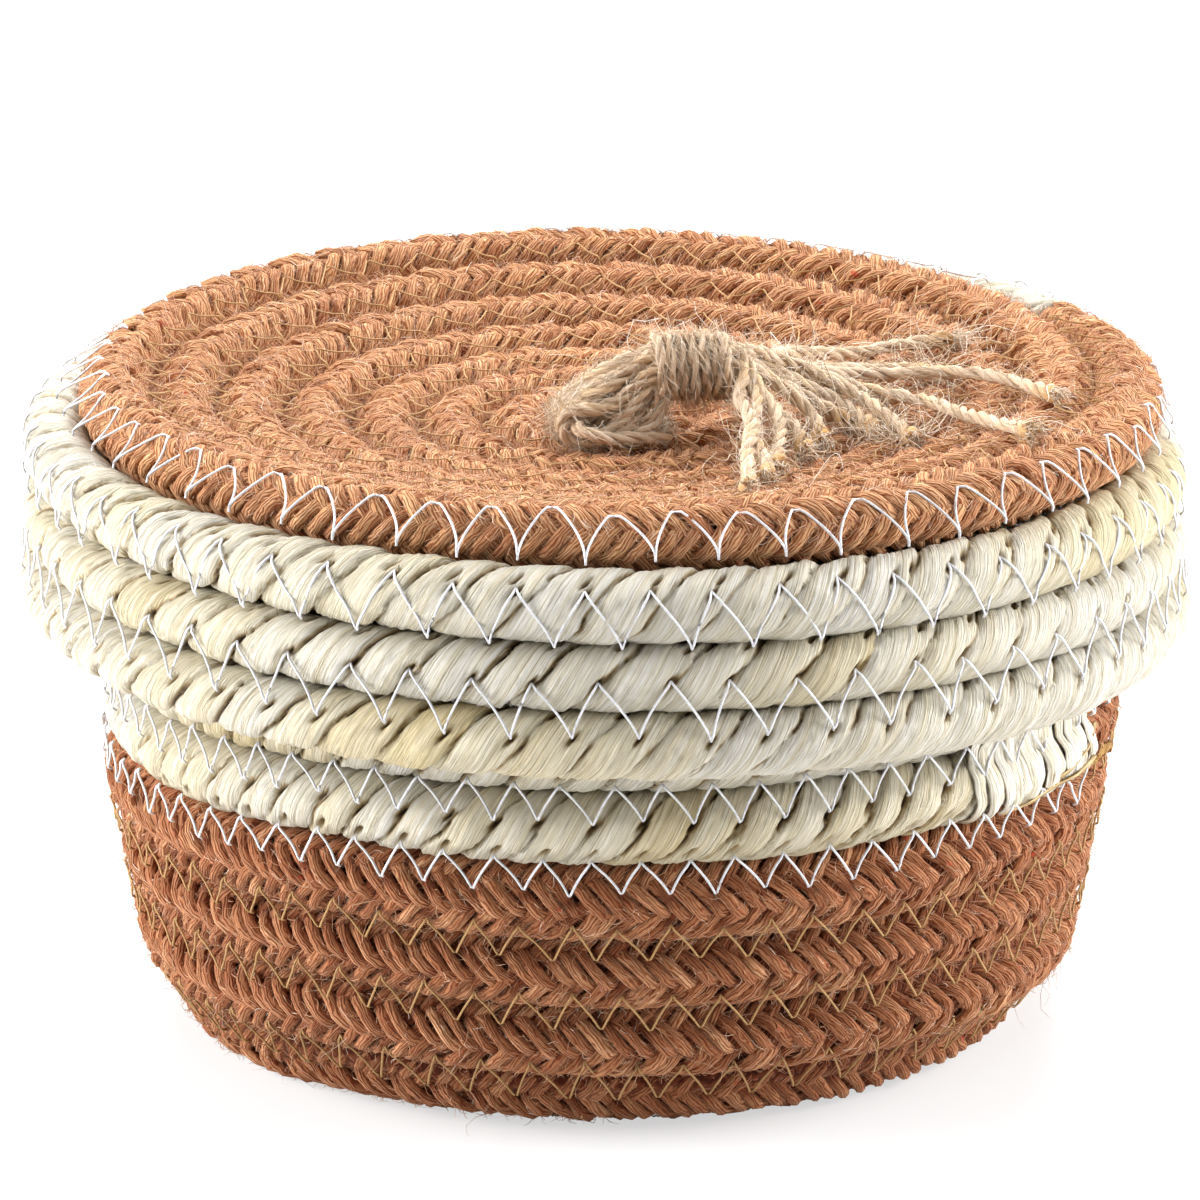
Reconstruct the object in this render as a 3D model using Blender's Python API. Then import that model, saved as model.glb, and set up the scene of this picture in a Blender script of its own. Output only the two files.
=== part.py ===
# Round knitting basket of coiled cord, with a lid that fits over its rim and a jute tassel on the lid.
# Metres, Z up, origin at the centre of the foot, front of the basket towards -Y.
# Every cord is one unbroken tube that winds along a profile, from its centre outwards.

import math

import bmesh
import bpy
from mathutils import Vector

mm = 0.001

# cords, and how far apart their rows lie along the profile
bodyCotton = {"diameter": 10.9 * mm, "pitch": 11.7 * mm, "footPitch": 12.6 * mm}
lidCotton = {"diameter": 8.75 * mm, "pitch": 9.55 * mm}
husk = {"diameter": 9.2 * mm, "bodyPitch": 10.45 * mm, "lidPitch": 9.7 * mm}
pointsPerTurn = 24
meetingGap = 0.3 * mm

# body profile: flat base, round foot, wall that leans out, and a rim drawn in a little
baseHoleRadius = 6.4 * mm
baseCut = 0.1 * bodyCotton["diameter"]
baseHeight = bodyCotton["diameter"] / 2 - baseCut
flatBase = 41.6 * mm
footArc = 18.0 * mm
wallAngle = 76.0
leaningWall = 27.0 * mm
rimArc = 26.0 * mm
rimAngle = 98.0
rimTop = 40.0 * mm

# lid profile: flat centre, dish that rises to the shoulder, and an upright skirt
lidHoleRadius = 6.0 * mm
lidCentreHeight = 85.6 * mm
flatCentre = 18.5 * mm
dishArc = 46.0 * mm
dishAngle = 18.0
shoulderRadius = 7.4 * mm
skirtAngle = 86.0
skirtLength = 40.0 * mm

# rows are counted in turns, and a whole number is at the front of the basket
baseTurns = (0.0, 4.0)
wallEnd = 7.83
rimEnd = 11.3
lidStart = 1.0
lidCottonEnd = 8.33
skirtEnd = 11.42
climbAtBack = 0.7
lidAheadAtBack = 0.15

# what the hands that sewed it left: an oval foot, a wall that sags on the left, a lid that rises to the back
footOval = 0.07
ovalHeight = 50.0 * mm
leftSag = 2.4 * mm
lidTilt = 0.014
lidShift = -0.8 * mm

# anchor: one yarn through the middle of the lid, knotted below it
anchorReach = 0.6
anchorSide = 0.95 * mm
knotRadius = 3.6 * mm

# tassel: yarns folded over the anchor cord, bound at the neck, and spread over the lid
yarnDiameter = 1.5 * mm
yarnPitch = 1.85 * mm
foldRadius = 2.4 * mm
yarnCount = 6
eye = Vector((-5.0, -16.0, 93.3)) * mm
tasselHeading = math.radians(5.0)
neckOffset = Vector((17.0, 0.0, 7.0)) * mm
neckLength = 11.5 * mm
bindingTurns = 6
bindingDiameter = 1.3 * mm
fanAngles = (-86, -76, -66, -55, -43, -31, -20, -9, 2, 13, 25, 37)
strandLength = 49.0 * mm
strandClearance = 1.0 * mm

colours = {
    "terracotta cotton": ((0.56, 0.19, 0.075), 0.95),
    "corn husk": ((0.80, 0.74, 0.60), 0.55),
    "jute": ((0.50, 0.40, 0.26), 0.9),
}


def clearScene():
    for old in list(bpy.data.objects):
        bpy.data.objects.remove(old, do_unlink=True)


def makeCollection(name):
    group = bpy.data.collections.new(name)
    bpy.context.scene.collection.children.link(group)
    return group


def material(name, finish):
    colour, roughness = colours[finish]
    made = bpy.data.materials.new(name)
    made.use_nodes = True
    shader = made.node_tree.nodes["Principled BSDF"]
    shader.inputs["Base Color"].default_value = (*colour, 1.0)
    shader.inputs["Roughness"].default_value = roughness
    shader.inputs["Metallic"].default_value = 0.0
    return made


def smoothStep(x):
    x = min(max(x, 0.0), 1.0)
    return x * x * (3 - 2 * x)


def walk(start, legs, s):
    # Radius and height at a length s along a profile made of straight and round legs.
    # A leg is its length and the angle it turns through, in degrees.
    r, z = start
    heading = 0.0
    for length, turn in legs:
        part = min(s, length)
        bend = math.radians(turn) * part / length
        if abs(bend) < 1e-9:
            r += part * math.cos(heading)
            z += part * math.sin(heading)
        else:
            radius = part / bend
            r += radius * (math.sin(heading + bend) - math.sin(heading))
            z += radius * (math.cos(heading) - math.cos(heading + bend))
        heading += bend
        s -= part
        if s <= 0:
            break
    return r, z


def bodyProfile(s):
    legs = (
        (flatBase, 0.0),
        (footArc, wallAngle),
        (leaningWall, 0.0),
        (rimArc, rimAngle - wallAngle),
        (rimTop, 0.0),
    )
    return walk((baseHoleRadius, baseHeight), legs, s)


def lidProfile(s):
    shoulderTurn = skirtAngle + dishAngle
    legs = (
        (flatCentre, 0.0),
        (dishArc, dishAngle),
        (shoulderRadius * math.radians(shoulderTurn), -shoulderTurn),
        (skirtLength, 0.0),
    )
    return walk((lidHoleRadius, lidCentreHeight), legs, s)


def lengthAt(turn, pitches):
    # Length along the profile after so many turns; pitches lists how many turns have each pitch.
    s = 0.0
    for count, pitch in pitches:
        part = min(turn, count)
        s += part * pitch
        turn -= part
        if turn <= 0:
            break
    return s


def bodyPoint(turn):
    # The body winds clockwise, seen from above, and climbs mostly at the back.
    level = max(turn - climbAtBack / (2 * math.pi) * math.sin(2 * math.pi * turn), 0.0)
    pitches = (
        (3.0, bodyCotton["pitch"]),
        (2.0, bodyCotton["footPitch"]),
        (3.0, bodyCotton["pitch"]),
        (9.0, husk["bodyPitch"]),
    )
    r, z = bodyProfile(lengthAt(level, pitches))
    angle = -math.pi / 2 - 2 * math.pi * turn
    oval = 1 + footOval * max(1 - z / ovalHeight, 0.0)
    atLeft = smoothStep((-math.cos(angle) - 0.5) / 0.5)
    sag = atLeft * min(max(z - baseHeight, 0.0), leftSag)
    return Vector((r * math.cos(angle) * oval, r * math.sin(angle), z - sag))


def lidPoint(turn):
    # The lid winds the other way round, so that both were sewn in the same sense.
    shoulder = shoulderRadius * math.pi / 2
    pitches = (
        (7.0, lidCotton["pitch"]),
        (1.0, shoulder),
        (9.0, husk["lidPitch"]),
    )
    ahead = lidAheadAtBack * smoothStep((turn - 3) / 4)
    level = turn + ahead * (1 - math.cos(2 * math.pi * turn))
    r, z = lidProfile(lengthAt(level - lidStart, pitches))
    angle = -math.pi / 2 + 2 * math.pi * turn
    y = r * math.sin(angle)
    return Vector((r * math.cos(angle) + lidShift * min(r / (60 * mm), 1.0), y, z + lidTilt * y))


def coilPoints(place, first, last, diameter, meetsFirst, meetsLast):
    # A winding between two turns. An end that meets another cord runs straight for one diameter
    # and stops half the gap short of it.
    def straightEnd(turn, inward):
        centre = place(turn)
        reach = diameter / (2 * math.pi * math.hypot(centre.x, centre.y))
        near = place(turn + inward * reach)
        far = place(turn - inward * reach)
        middle = (near + far) / 2
        return near, middle + (near - middle).normalized() * (meetingGap / 2), reach

    head, tail = [], []
    start, stop = first, last
    if meetsFirst:
        near, tip, reach = straightEnd(first, 1)
        head = [tip, near]
        start = first + reach
    if meetsLast:
        near, tip, reach = straightEnd(last, -1)
        tail = [near, tip]
        stop = last - reach
    # the points of neighbouring rows lie side by side
    inside = range(math.floor(start * pointsPerTurn + 0.5) + 1, math.ceil(stop * pointsPerTurn - 0.5))
    turns = [start, *(k / pointsPerTurn for k in inside), stop]
    inner = [place(t) for t in turns]
    if meetsFirst:
        inner = inner[1:]
    if meetsLast:
        inner = inner[:-1]
    points = head + inner + tail
    if not meetsLast:
        points.append(points[-1] + (points[-1] - points[-2]).normalized() * diameter)
    return points


def leastGap(points, diameter, turnPoints=pointsPerTurn):
    # Smallest distance between the surfaces of a winding's turns, measured on its points
    # and on the middles of its runs.
    fine = []
    for a, b in zip(points, points[1:]):
        fine += [a, (a + b) / 2]
    least = 1.0
    apart = turnPoints
    for i, a in enumerate(fine):
        for b in fine[i + apart:]:
            least = min(least, (a - b).length)
    return least - diameter


def tube(name, points, diameter, group, finish, origin=Vector((0, 0, 0))):
    # A round solid along the points; its own origin lies where the piece turns.
    curve = bpy.data.curves.new(name, "CURVE")
    curve.dimensions = "3D"
    curve.bevel_depth = diameter / 2
    curve.bevel_resolution = 1
    curve.use_fill_caps = True
    curve.render_resolution_u = 0
    spline = curve.splines.new("POLY")
    spline.points.add(len(points) - 1)
    for point, place in zip(spline.points, points):
        point.co = (*(place - origin), 1.0)
    made = bpy.data.objects.new(name, curve)
    made.location = origin
    made.data.materials.append(material(name, finish))
    group.objects.link(made)
    return made


def toMesh(made):
    # A curve as a mesh with welded caps, under the same name.
    name = made.name
    graph = bpy.context.evaluated_depsgraph_get()
    graph.update()
    mesh = bpy.data.meshes.new_from_object(made.evaluated_get(graph))
    shape = bmesh.new()
    shape.from_mesh(mesh)
    bmesh.ops.remove_doubles(shape, verts=shape.verts, dist=1e-6)
    shape.to_mesh(mesh)
    shape.free()
    place = made.matrix_world.copy()
    group = made.users_collection[0]
    bpy.data.objects.remove(made, do_unlink=True)
    solid = bpy.data.objects.new(name, mesh)
    solid.matrix_world = place
    group.objects.link(solid)
    return solid


def cutFlat(made, cutters):
    # Takes off what is below the surface that the basket stands on.
    size = Vector((300, 300, 20)) * mm
    bpy.ops.mesh.primitive_cube_add(size=1.0, location=(0, 0, -size.z / 2))
    cutter = bpy.context.object
    cutter.name = made.name + "_cutter"
    cutter.scale = size
    cutter.hide_render = True
    cutter.display_type = "WIRE"
    for old in list(cutter.users_collection):
        old.objects.unlink(cutter)
    cutters.objects.link(cutter)
    cut = made.modifiers.new("flat foot", "BOOLEAN")
    cut.operation = "DIFFERENCE"
    cut.object = cutter


def makeBody(group, cutters):
    thick = bodyCotton["diameter"]
    base = coilPoints(bodyPoint, *baseTurns, thick, False, True)
    wall = coilPoints(bodyPoint, baseTurns[1], wallEnd, thick, True, True)
    rim = coilPoints(bodyPoint, wallEnd, rimEnd, husk["diameter"], True, False)
    for name, points in (("base_cotton_cord", base), ("wall_cotton_cord", wall)):
        cutFlat(toMesh(tube(name, points, thick, group, "terracotta cotton")), cutters)
    tube("rim_husk_cord", rim, husk["diameter"], group, "corn husk")
    for name, points, diameter in (("base", base, thick), ("wall", wall, thick), ("rim", rim, husk["diameter"])):
        print(name, "cord: least gap to itself", round(leastGap(points, diameter) / mm, 2), "mm")
    return rim


def makeLid(group):
    top = coilPoints(lidPoint, lidStart, lidCottonEnd, lidCotton["diameter"], False, True)
    skirt = coilPoints(lidPoint, lidCottonEnd, skirtEnd, husk["diameter"], True, False)
    tube("lid_cotton_cord", top, lidCotton["diameter"], group, "terracotta cotton")
    tube("lid_husk_cord", skirt, husk["diameter"], group, "corn husk")
    for name, points, diameter in (("lid top", top, lidCotton["diameter"]), ("skirt", skirt, husk["diameter"])):
        print(name, "cord: least gap to itself", round(leastGap(points, diameter) / mm, 2), "mm")
    return top + skirt


def lidSurface(x, y):
    # Height of the crests of the lid's rows, at a distance from its centre.
    r = math.hypot(x, y)
    flatEdge = lidHoleRadius + flatCentre
    rise = 0.0
    if r > flatEdge:
        bend = dishArc / math.radians(dishAngle)
        rise = bend * (1 - math.cos(math.asin(min((r - flatEdge) / bend, 1.0))))
    return lidCentreHeight + rise + lidTilt * y + lidCotton["diameter"] / 2


def neckSlots():
    # Where the upper legs of the yarns lie in the round neck, and how far each bows on its way there:
    # four in a row beside the middle and two outside them. The lower legs mirror them.
    sides = (-1.5, -0.5, -0.5, 0.5, 0.5, 1.5)
    layers = (0.5, 1.62, 0.5, 0.5, 1.62, 0.5)
    bows = (0.6, 1.7, -0.5, -0.5, 1.7, 0.6)
    return [(s * yarnPitch, l * yarnPitch, b * mm) for s, l, b in zip(sides, layers, bows)]


def strandPoints(index, slot, along, across):
    # A free strand: out of the neck, turning into its place in the fan, and down to lie on the lid.
    # The radius of the neck shrinks into one layer as the strands spread.
    steps = 13
    side, lift, _ = slot
    angle = math.radians(fanAngles[index])
    length = strandLength * (1 + 0.07 * math.sin(2.4 * index))
    start = eye + along * neckOffset.x + Vector((0, 0, neckOffset.z)) + along * (neckLength / 2)
    at = start + across * side
    level = start.z + lift
    points = [Vector((at.x, at.y, level))]
    step = length / steps
    for k in range(1, steps + 1):
        turned = angle * smoothStep((k - 0.5) * step / (12 * mm))
        at = at + (along * math.cos(turned) + across * math.sin(turned)) * step
        settled = smoothStep((k * step - 3 * mm) / (27 * mm))
        rest = lidSurface(at.x, at.y) + yarnDiameter / 2 + strandClearance
        points.append(Vector((at.x, at.y, level * (1 - settled) + rest * settled)))
    return points


def yarnPoints(k, along, across):
    # One yarn: free strand, neck, fold over the anchor, neck, free strand.
    side, lift, bow = neckSlots()[k]
    spread = (k - (yarnCount - 1) / 2) * yarnPitch
    up = Vector((0, 0, 1))
    neck = eye + along * neckOffset.x + up * neckOffset.z
    backwards = []
    for sign, index in ((1, 2 * k), (-1, 2 * k + 1)):
        leg = strandPoints(index, (side, sign * lift, bow), along, across)
        leg.reverse()
        neckStart = neck - along * (neckLength / 2) + across * side + up * (sign * lift)
        leg.append(neckStart)
        for part in (0.33, 0.66):
            eased = smoothStep(part)
            fold = eye + across * spread + up * (sign * foldRadius)
            place = neckStart.lerp(fold, part)
            place += across * (spread - side) * (eased - part) + up * (sign * bow * math.sin(math.pi * part))
            leg.append(place)
        backwards.append(leg)
    fold = []
    for j in range(7):
        a = math.pi / 2 + math.pi * j / 6
        fold.append(eye + across * spread + along * (foldRadius * math.cos(a)) + up * (foldRadius * math.sin(a)))
    second = backwards[1]
    second.reverse()
    return backwards[0] + fold + second


def bindingPoints(along, across):
    up = Vector((0, 0, 1))
    neck = eye + along * neckOffset.x + up * neckOffset.z
    radius = 1.5 * yarnPitch + 0.35 * yarnPitch + yarnDiameter / 2 + meetingGap + bindingDiameter / 2
    pitch = bindingDiameter + 0.5 * mm
    points = []
    for j in range(bindingTurns * 9 + 1):
        turn = j / 9
        a = 2 * math.pi * turn
        shift = along * ((turn - bindingTurns / 2) * pitch)
        points.append(neck + shift + across * (radius * math.cos(a)) + up * (radius * math.sin(a)))
    return points


def smoothRoute(route, steps):
    # A smooth curve through every point of a route. Its speed at a point follows the shorter
    # of the two runs that meet there, so that a long run doesn't swing out beside a short one.
    slopes = []
    for k, here in enumerate(route):
        before = here - route[max(k - 1, 0)]
        after = route[min(k + 1, len(route) - 1)] - here
        lengths = [run.length for run in (before, after) if run.length > 0]
        slopes.append((before + after).normalized() * min(lengths))
    points = []
    for k in range(len(route) - 1):
        a, b = route[k], route[k + 1]
        for j in range(steps):
            t = j / steps
            points.append(
                a * (2 * t**3 - 3 * t**2 + 1) + slopes[k] * (t**3 - 2 * t**2 + t)
                + b * (3 * t**2 - 2 * t**3) + slopes[k + 1] * (t**3 - t**2)
            )
    return points + [route[-1]]


def anchorPoints(along, across):
    # Up through the hole in the middle of the lid, through the folds, back under the legs and down.
    up = Vector((0, 0, 1))
    low = lidCentreHeight - lidCotton["diameter"] / 2
    high = lidSurface(0, 0) + 1.5 * mm
    reach = yarnPitch * (yarnCount / 2 + anchorReach)
    back = eye + across * reach
    front = eye - across * reach
    under = eye + along * (9.0 * mm)
    under.z = high
    side = anchorSide
    route = [
        Vector((-side, 0, low)),
        Vector((-side, 0, high - 1.2 * mm)),
        Vector((-side - 0.8 * mm, -1.4 * mm, high)),
        back + across * (2.6 * mm) - up * (1.0 * mm),
        back + across * (0.8 * mm),
        back,
        front,
        front - across * (0.8 * mm) + along * (0.8 * mm),
        front + along * (4.2 * mm) - up * (1.2 * mm),
        under - across * (reach - 2.0 * mm),
        under + across * (reach - 2.0 * mm),
        Vector((side + 1.0 * mm, -1.8 * mm, high)),
        Vector((side, 0, high - 1.2 * mm)),
        Vector((side, 0, low)),
    ]
    return smoothRoute(route, 3)


def makeTassel(group):
    along = Vector((math.cos(tasselHeading), math.sin(tasselHeading), 0))
    across = Vector((-math.sin(tasselHeading), math.cos(tasselHeading), 0))
    tube("tassel_anchor_cord", anchorPoints(along, across), yarnDiameter, group, "jute")
    low = lidCentreHeight - lidCotton["diameter"] / 2
    bpy.ops.mesh.primitive_uv_sphere_add(segments=16, ring_count=10, radius=knotRadius)
    knot = bpy.context.object
    knot.name = "anchor_knot"
    knot.location = (0, 0, low - meetingGap - knotRadius)
    knot.data.shade_smooth()
    knot.data.materials.append(material("anchor_knot", "jute"))
    for old in list(knot.users_collection):
        old.objects.unlink(knot)
    group.objects.link(knot)
    for k in range(yarnCount):
        tube(f"tassel_yarn_{k + 1}", yarnPoints(k, along, across), yarnDiameter, group, "jute", eye)
    binding = bindingPoints(along, across)
    tube("tassel_binding", binding, bindingDiameter, group, "jute", eye)
    print("binding: least gap to itself", round(leastGap(binding, bindingDiameter, 12) / mm, 2), "mm")


def rimClearance(rim, lid):
    least = min((a - b).length for a in rim for b in lid)
    return least - husk["diameter"]


def main():
    clearScene()
    basket = makeCollection("knitting basket")
    cutters = makeCollection("cutters")
    rim = makeBody(basket, cutters)
    lid = makeLid(basket)
    makeTassel(basket)
    print("rim to lid: least gap", round(rimClearance(rim, lid) / mm, 2), "mm")


main()
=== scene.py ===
import math

import bpy
import numpy as np
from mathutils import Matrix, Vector


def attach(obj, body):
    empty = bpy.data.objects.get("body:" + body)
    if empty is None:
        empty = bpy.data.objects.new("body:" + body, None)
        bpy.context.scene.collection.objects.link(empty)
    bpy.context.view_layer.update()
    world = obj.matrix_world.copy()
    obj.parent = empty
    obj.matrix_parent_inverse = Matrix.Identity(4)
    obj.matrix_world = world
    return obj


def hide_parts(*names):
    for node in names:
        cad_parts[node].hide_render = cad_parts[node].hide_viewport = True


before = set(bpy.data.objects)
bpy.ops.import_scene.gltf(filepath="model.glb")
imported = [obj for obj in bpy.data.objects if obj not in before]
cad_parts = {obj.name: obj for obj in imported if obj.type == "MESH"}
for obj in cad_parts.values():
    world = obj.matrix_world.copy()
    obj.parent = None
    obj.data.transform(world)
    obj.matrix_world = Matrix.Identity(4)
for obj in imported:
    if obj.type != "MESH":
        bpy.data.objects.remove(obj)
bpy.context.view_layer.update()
mm = 0.001

# the soft base is squeezed flat below this height over the table
pressedBelow = 0.9 * mm

# the tightest a cord's centre can curl
innermost = 2.6 * mm

# coarser meshes while looking at one piece after another
stepScale = 1.0

# camera at the photograph's angle, in metres and degrees
cameraSet = {"place": (0.0, -1.0506, 0.3866), "tilt": 72.77, "lens": 224.55, "shift": -0.0075}

# the winding of the body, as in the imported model
body = {
    "cottonPitch": 11.7 * mm, "footPitch": 12.6 * mm, "huskPitch": 10.45 * mm,
    "holeRadius": 6.4 * mm, "height": 4.36 * mm, "flat": 41.6 * mm,
    "footArc": 18.0 * mm, "wallAngle": 76.0, "wall": 27.0 * mm,
    "rimArc": 26.0 * mm, "rimAngle": 98.0, "rimTop": 40.0 * mm,
    "climbAtBack": 0.7, "oval": 0.07, "ovalHeight": 50.0 * mm, "leftSag": 2.4 * mm,
    "cottonRadius": 5.75 * mm, "huskRadius": 5.0 * mm,
    "curledIn": -0.58, "baseEnd": 4.0, "wallEnd": 7.83, "rimEnd": 11.3,
}

# the winding of the lid, the other way round
lid = {
    "cottonPitch": 9.55 * mm, "huskPitch": 9.7 * mm,
    "holeRadius": 6.0 * mm, "height": 85.6 * mm, "flat": 18.5 * mm,
    "dishArc": 46.0 * mm, "dishAngle": 18.0, "shoulderRadius": 7.4 * mm,
    "skirtAngle": 86.0, "skirt": 40.0 * mm,
    "aheadAtBack": 0.15, "tilt": 0.014, "shift": -0.8 * mm,
    "cottonRadius": 5.0 * mm, "huskRadius": 4.8 * mm,
    "start": 1.0, "cottonEnd": 8.33, "skirtEnd": 11.42,
}


def unit(v):
    return v / np.maximum(np.linalg.norm(v, axis=-1, keepdims=True), 1e-12)


def smoothStep(x):
    x = np.clip(x, 0.0, 1.0)
    return x * x * (3 - 2 * x)


def lattice(ix, iy, iz, seed):
    h = ix.astype(np.uint64) * np.uint64(73856093)
    h ^= iy.astype(np.uint64) * np.uint64(19349663)
    h ^= iz.astype(np.uint64) * np.uint64(83492791)
    h ^= np.uint64(seed * 97919 + 12345)
    h = (h ^ (h >> np.uint64(13))) * np.uint64(1274126177)
    h = h & np.uint64(0xFFFFFFFF)
    h = (h ^ (h >> np.uint64(16))) & np.uint64(0xFFFF)
    return h.astype(float) / 32767.5 - 1.0


def noise(p, seed):
    # smooth noise from -1 to 1 at points whose unit is the size of its lumps
    cell = np.floor(p).astype(np.int64)
    f = p - cell
    f = f * f * (3 - 2 * f)
    total = 0.0
    for dx in (0, 1):
        for dy in (0, 1):
            for dz in (0, 1):
                corner = lattice(cell[..., 0] + dx, cell[..., 1] + dy, cell[..., 2] + dz, seed)
                wx = f[..., 0] if dx else 1 - f[..., 0]
                wy = f[..., 1] if dy else 1 - f[..., 1]
                wz = f[..., 2] if dz else 1 - f[..., 2]
                total = total + corner * wx * wy * wz
    return total


def walkProfile(start, legs, s):
    # radius and height at a length s along straight and round legs; below 0 it curls in towards the middle
    r = np.maximum(start[0] + np.minimum(s, 0.0), innermost)
    z = np.full_like(s, start[1])
    heading = 0.0
    rest = s
    for length, turn in legs:
        part = np.clip(rest, 0.0, length)
        if turn:
            radius = length / math.radians(turn)
            bend = part / radius
            r = r + radius * (np.sin(heading + bend) - math.sin(heading))
            z = z + radius * (math.cos(heading) - np.cos(heading + bend))
        else:
            r = r + part * math.cos(heading)
            z = z + part * math.sin(heading)
        heading += math.radians(turn)
        rest = rest - part
    return r, z


def lengthAt(level, pitches):
    s = np.minimum(level, 0.0) * pitches[0][1]
    rest = np.maximum(level, 0.0)
    for count, pitch in pitches:
        part = np.minimum(rest, count)
        s = s + part * pitch
        rest = rest - part
    return s


def bodyPlace(turn, aside=0.0):
    # centre of the body's cord after so many turns, or a little aside of it along the profile
    turn = np.asarray(turn, float)
    level = turn - body["climbAtBack"] / (2 * math.pi) * np.sin(2 * math.pi * turn)
    pitches = ((3.0, body["cottonPitch"]), (2.0, body["footPitch"]), (3.0, body["cottonPitch"]), (9.0, body["huskPitch"]))
    legs = (
        (body["flat"], 0.0), (body["footArc"], body["wallAngle"]), (body["wall"], 0.0),
        (body["rimArc"], body["rimAngle"] - body["wallAngle"]), (body["rimTop"], 0.0),
    )
    r, z = walkProfile((body["holeRadius"], body["height"]), legs, lengthAt(level, pitches) + aside)
    angle = -math.pi / 2 - 2 * math.pi * turn
    oval = 1 + body["oval"] * np.maximum(1 - z / body["ovalHeight"], 0.0)
    atLeft = smoothStep((-np.cos(angle) - 0.5) / 0.5)
    sag = atLeft * np.clip(z - body["height"], 0.0, body["leftSag"])
    return np.stack([r * np.cos(angle) * oval, r * np.sin(angle), z - sag], -1)


def lidPlace(turn, aside=0.0):
    turn = np.asarray(turn, float)
    shoulder = lid["shoulderRadius"] * math.pi / 2
    pitches = ((7.0, lid["cottonPitch"]), (1.0, shoulder), (9.0, lid["huskPitch"]))
    shoulderTurn = lid["skirtAngle"] + lid["dishAngle"]
    legs = (
        (lid["flat"], 0.0), (lid["dishArc"], lid["dishAngle"]),
        (lid["shoulderRadius"] * math.radians(shoulderTurn), -shoulderTurn), (lid["skirt"], 0.0),
    )
    ahead = lid["aheadAtBack"] * smoothStep((turn - 3) / 4)
    level = turn + ahead * (1 - np.cos(2 * math.pi * turn))
    r, z = walkProfile((lid["holeRadius"], lid["height"]), legs, lengthAt(level - lid["start"], pitches) + aside)
    angle = -math.pi / 2 + 2 * math.pi * turn
    y = r * np.sin(angle)
    x = r * np.cos(angle) + lid["shift"] * np.minimum(r / (60 * mm), 1.0)
    return np.stack([x, y, z + lid["tilt"] * y], -1)


def cordFrame(place, turns):
    # centre of a cord, and its directions: along it, out of the basket, and across to the next row
    step = 0.002
    centre = place(turns)
    along = unit(place(turns + step) - place(turns - step))
    across = place(turns, 0.5 * mm) - place(turns, -0.5 * mm)
    outward = unit(np.cross(across, along))
    return centre, along, outward, np.cross(along, outward)


def evenTurns(place, first, last, step):
    # turns at even lengths along a winding, and those lengths
    fine = np.linspace(first, last, int((last - first) * 500) + 8)
    run = np.concatenate([[0.0], np.cumsum(np.linalg.norm(np.diff(place(fine), axis=0), axis=1))])
    length = np.linspace(0.0, run[-1], max(int(run[-1] / step), 2) + 1)
    return np.interp(length, run, fine), length


def linear(code):
    # an sRGB hex colour as linear values
    parts = [int(code[i:i + 2], 16) / 255 for i in (1, 3, 5)]
    return tuple(p / 12.92 if p <= 0.04045 else ((p + 0.055) / 1.055) ** 2.4 for p in parts) + (1.0,)


def node(tree, kind, inputs=None, links=None, **settings):
    # one shader node with its settings, its fixed inputs and its links
    made = tree.nodes.new(kind)
    for key, value in settings.items():
        setattr(made, key, value)
    for key, value in (inputs or {}).items():
        made.inputs[key].default_value = value
    for key, source in (links or {}).items():
        tree.links.new(source, made.inputs[key])
    return made


def newMaterial(name):
    made = bpy.data.materials.new(name)
    made.use_nodes = True
    tree = made.node_tree
    shader = tree.nodes["Principled BSDF"]
    return made, tree, shader


def ramp(tree, source, stops):
    made = node(tree, "ShaderNodeValToRGB", links={"Fac": source})
    first, last = stops[0], stops[-1]
    made.color_ramp.elements[0].position, made.color_ramp.elements[0].color = first[0], first[1]
    made.color_ramp.elements[1].position, made.color_ramp.elements[1].color = last[0], last[1]
    for position, colour in stops[1:-1]:
        made.color_ramp.elements.new(position).color = colour
    return made.outputs["Color"]


def mixColour(tree, how, amount, a, b):
    made = node(tree, "ShaderNodeMix", data_type="RGBA", blend_type=how)
    for socket, value in ((made.inputs[0], amount), (made.inputs[6], a), (made.inputs[7], b)):
        if hasattr(value, "is_linked"):
            tree.links.new(value, socket)
        else:
            socket.default_value = value
    return made.outputs[2]


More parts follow.
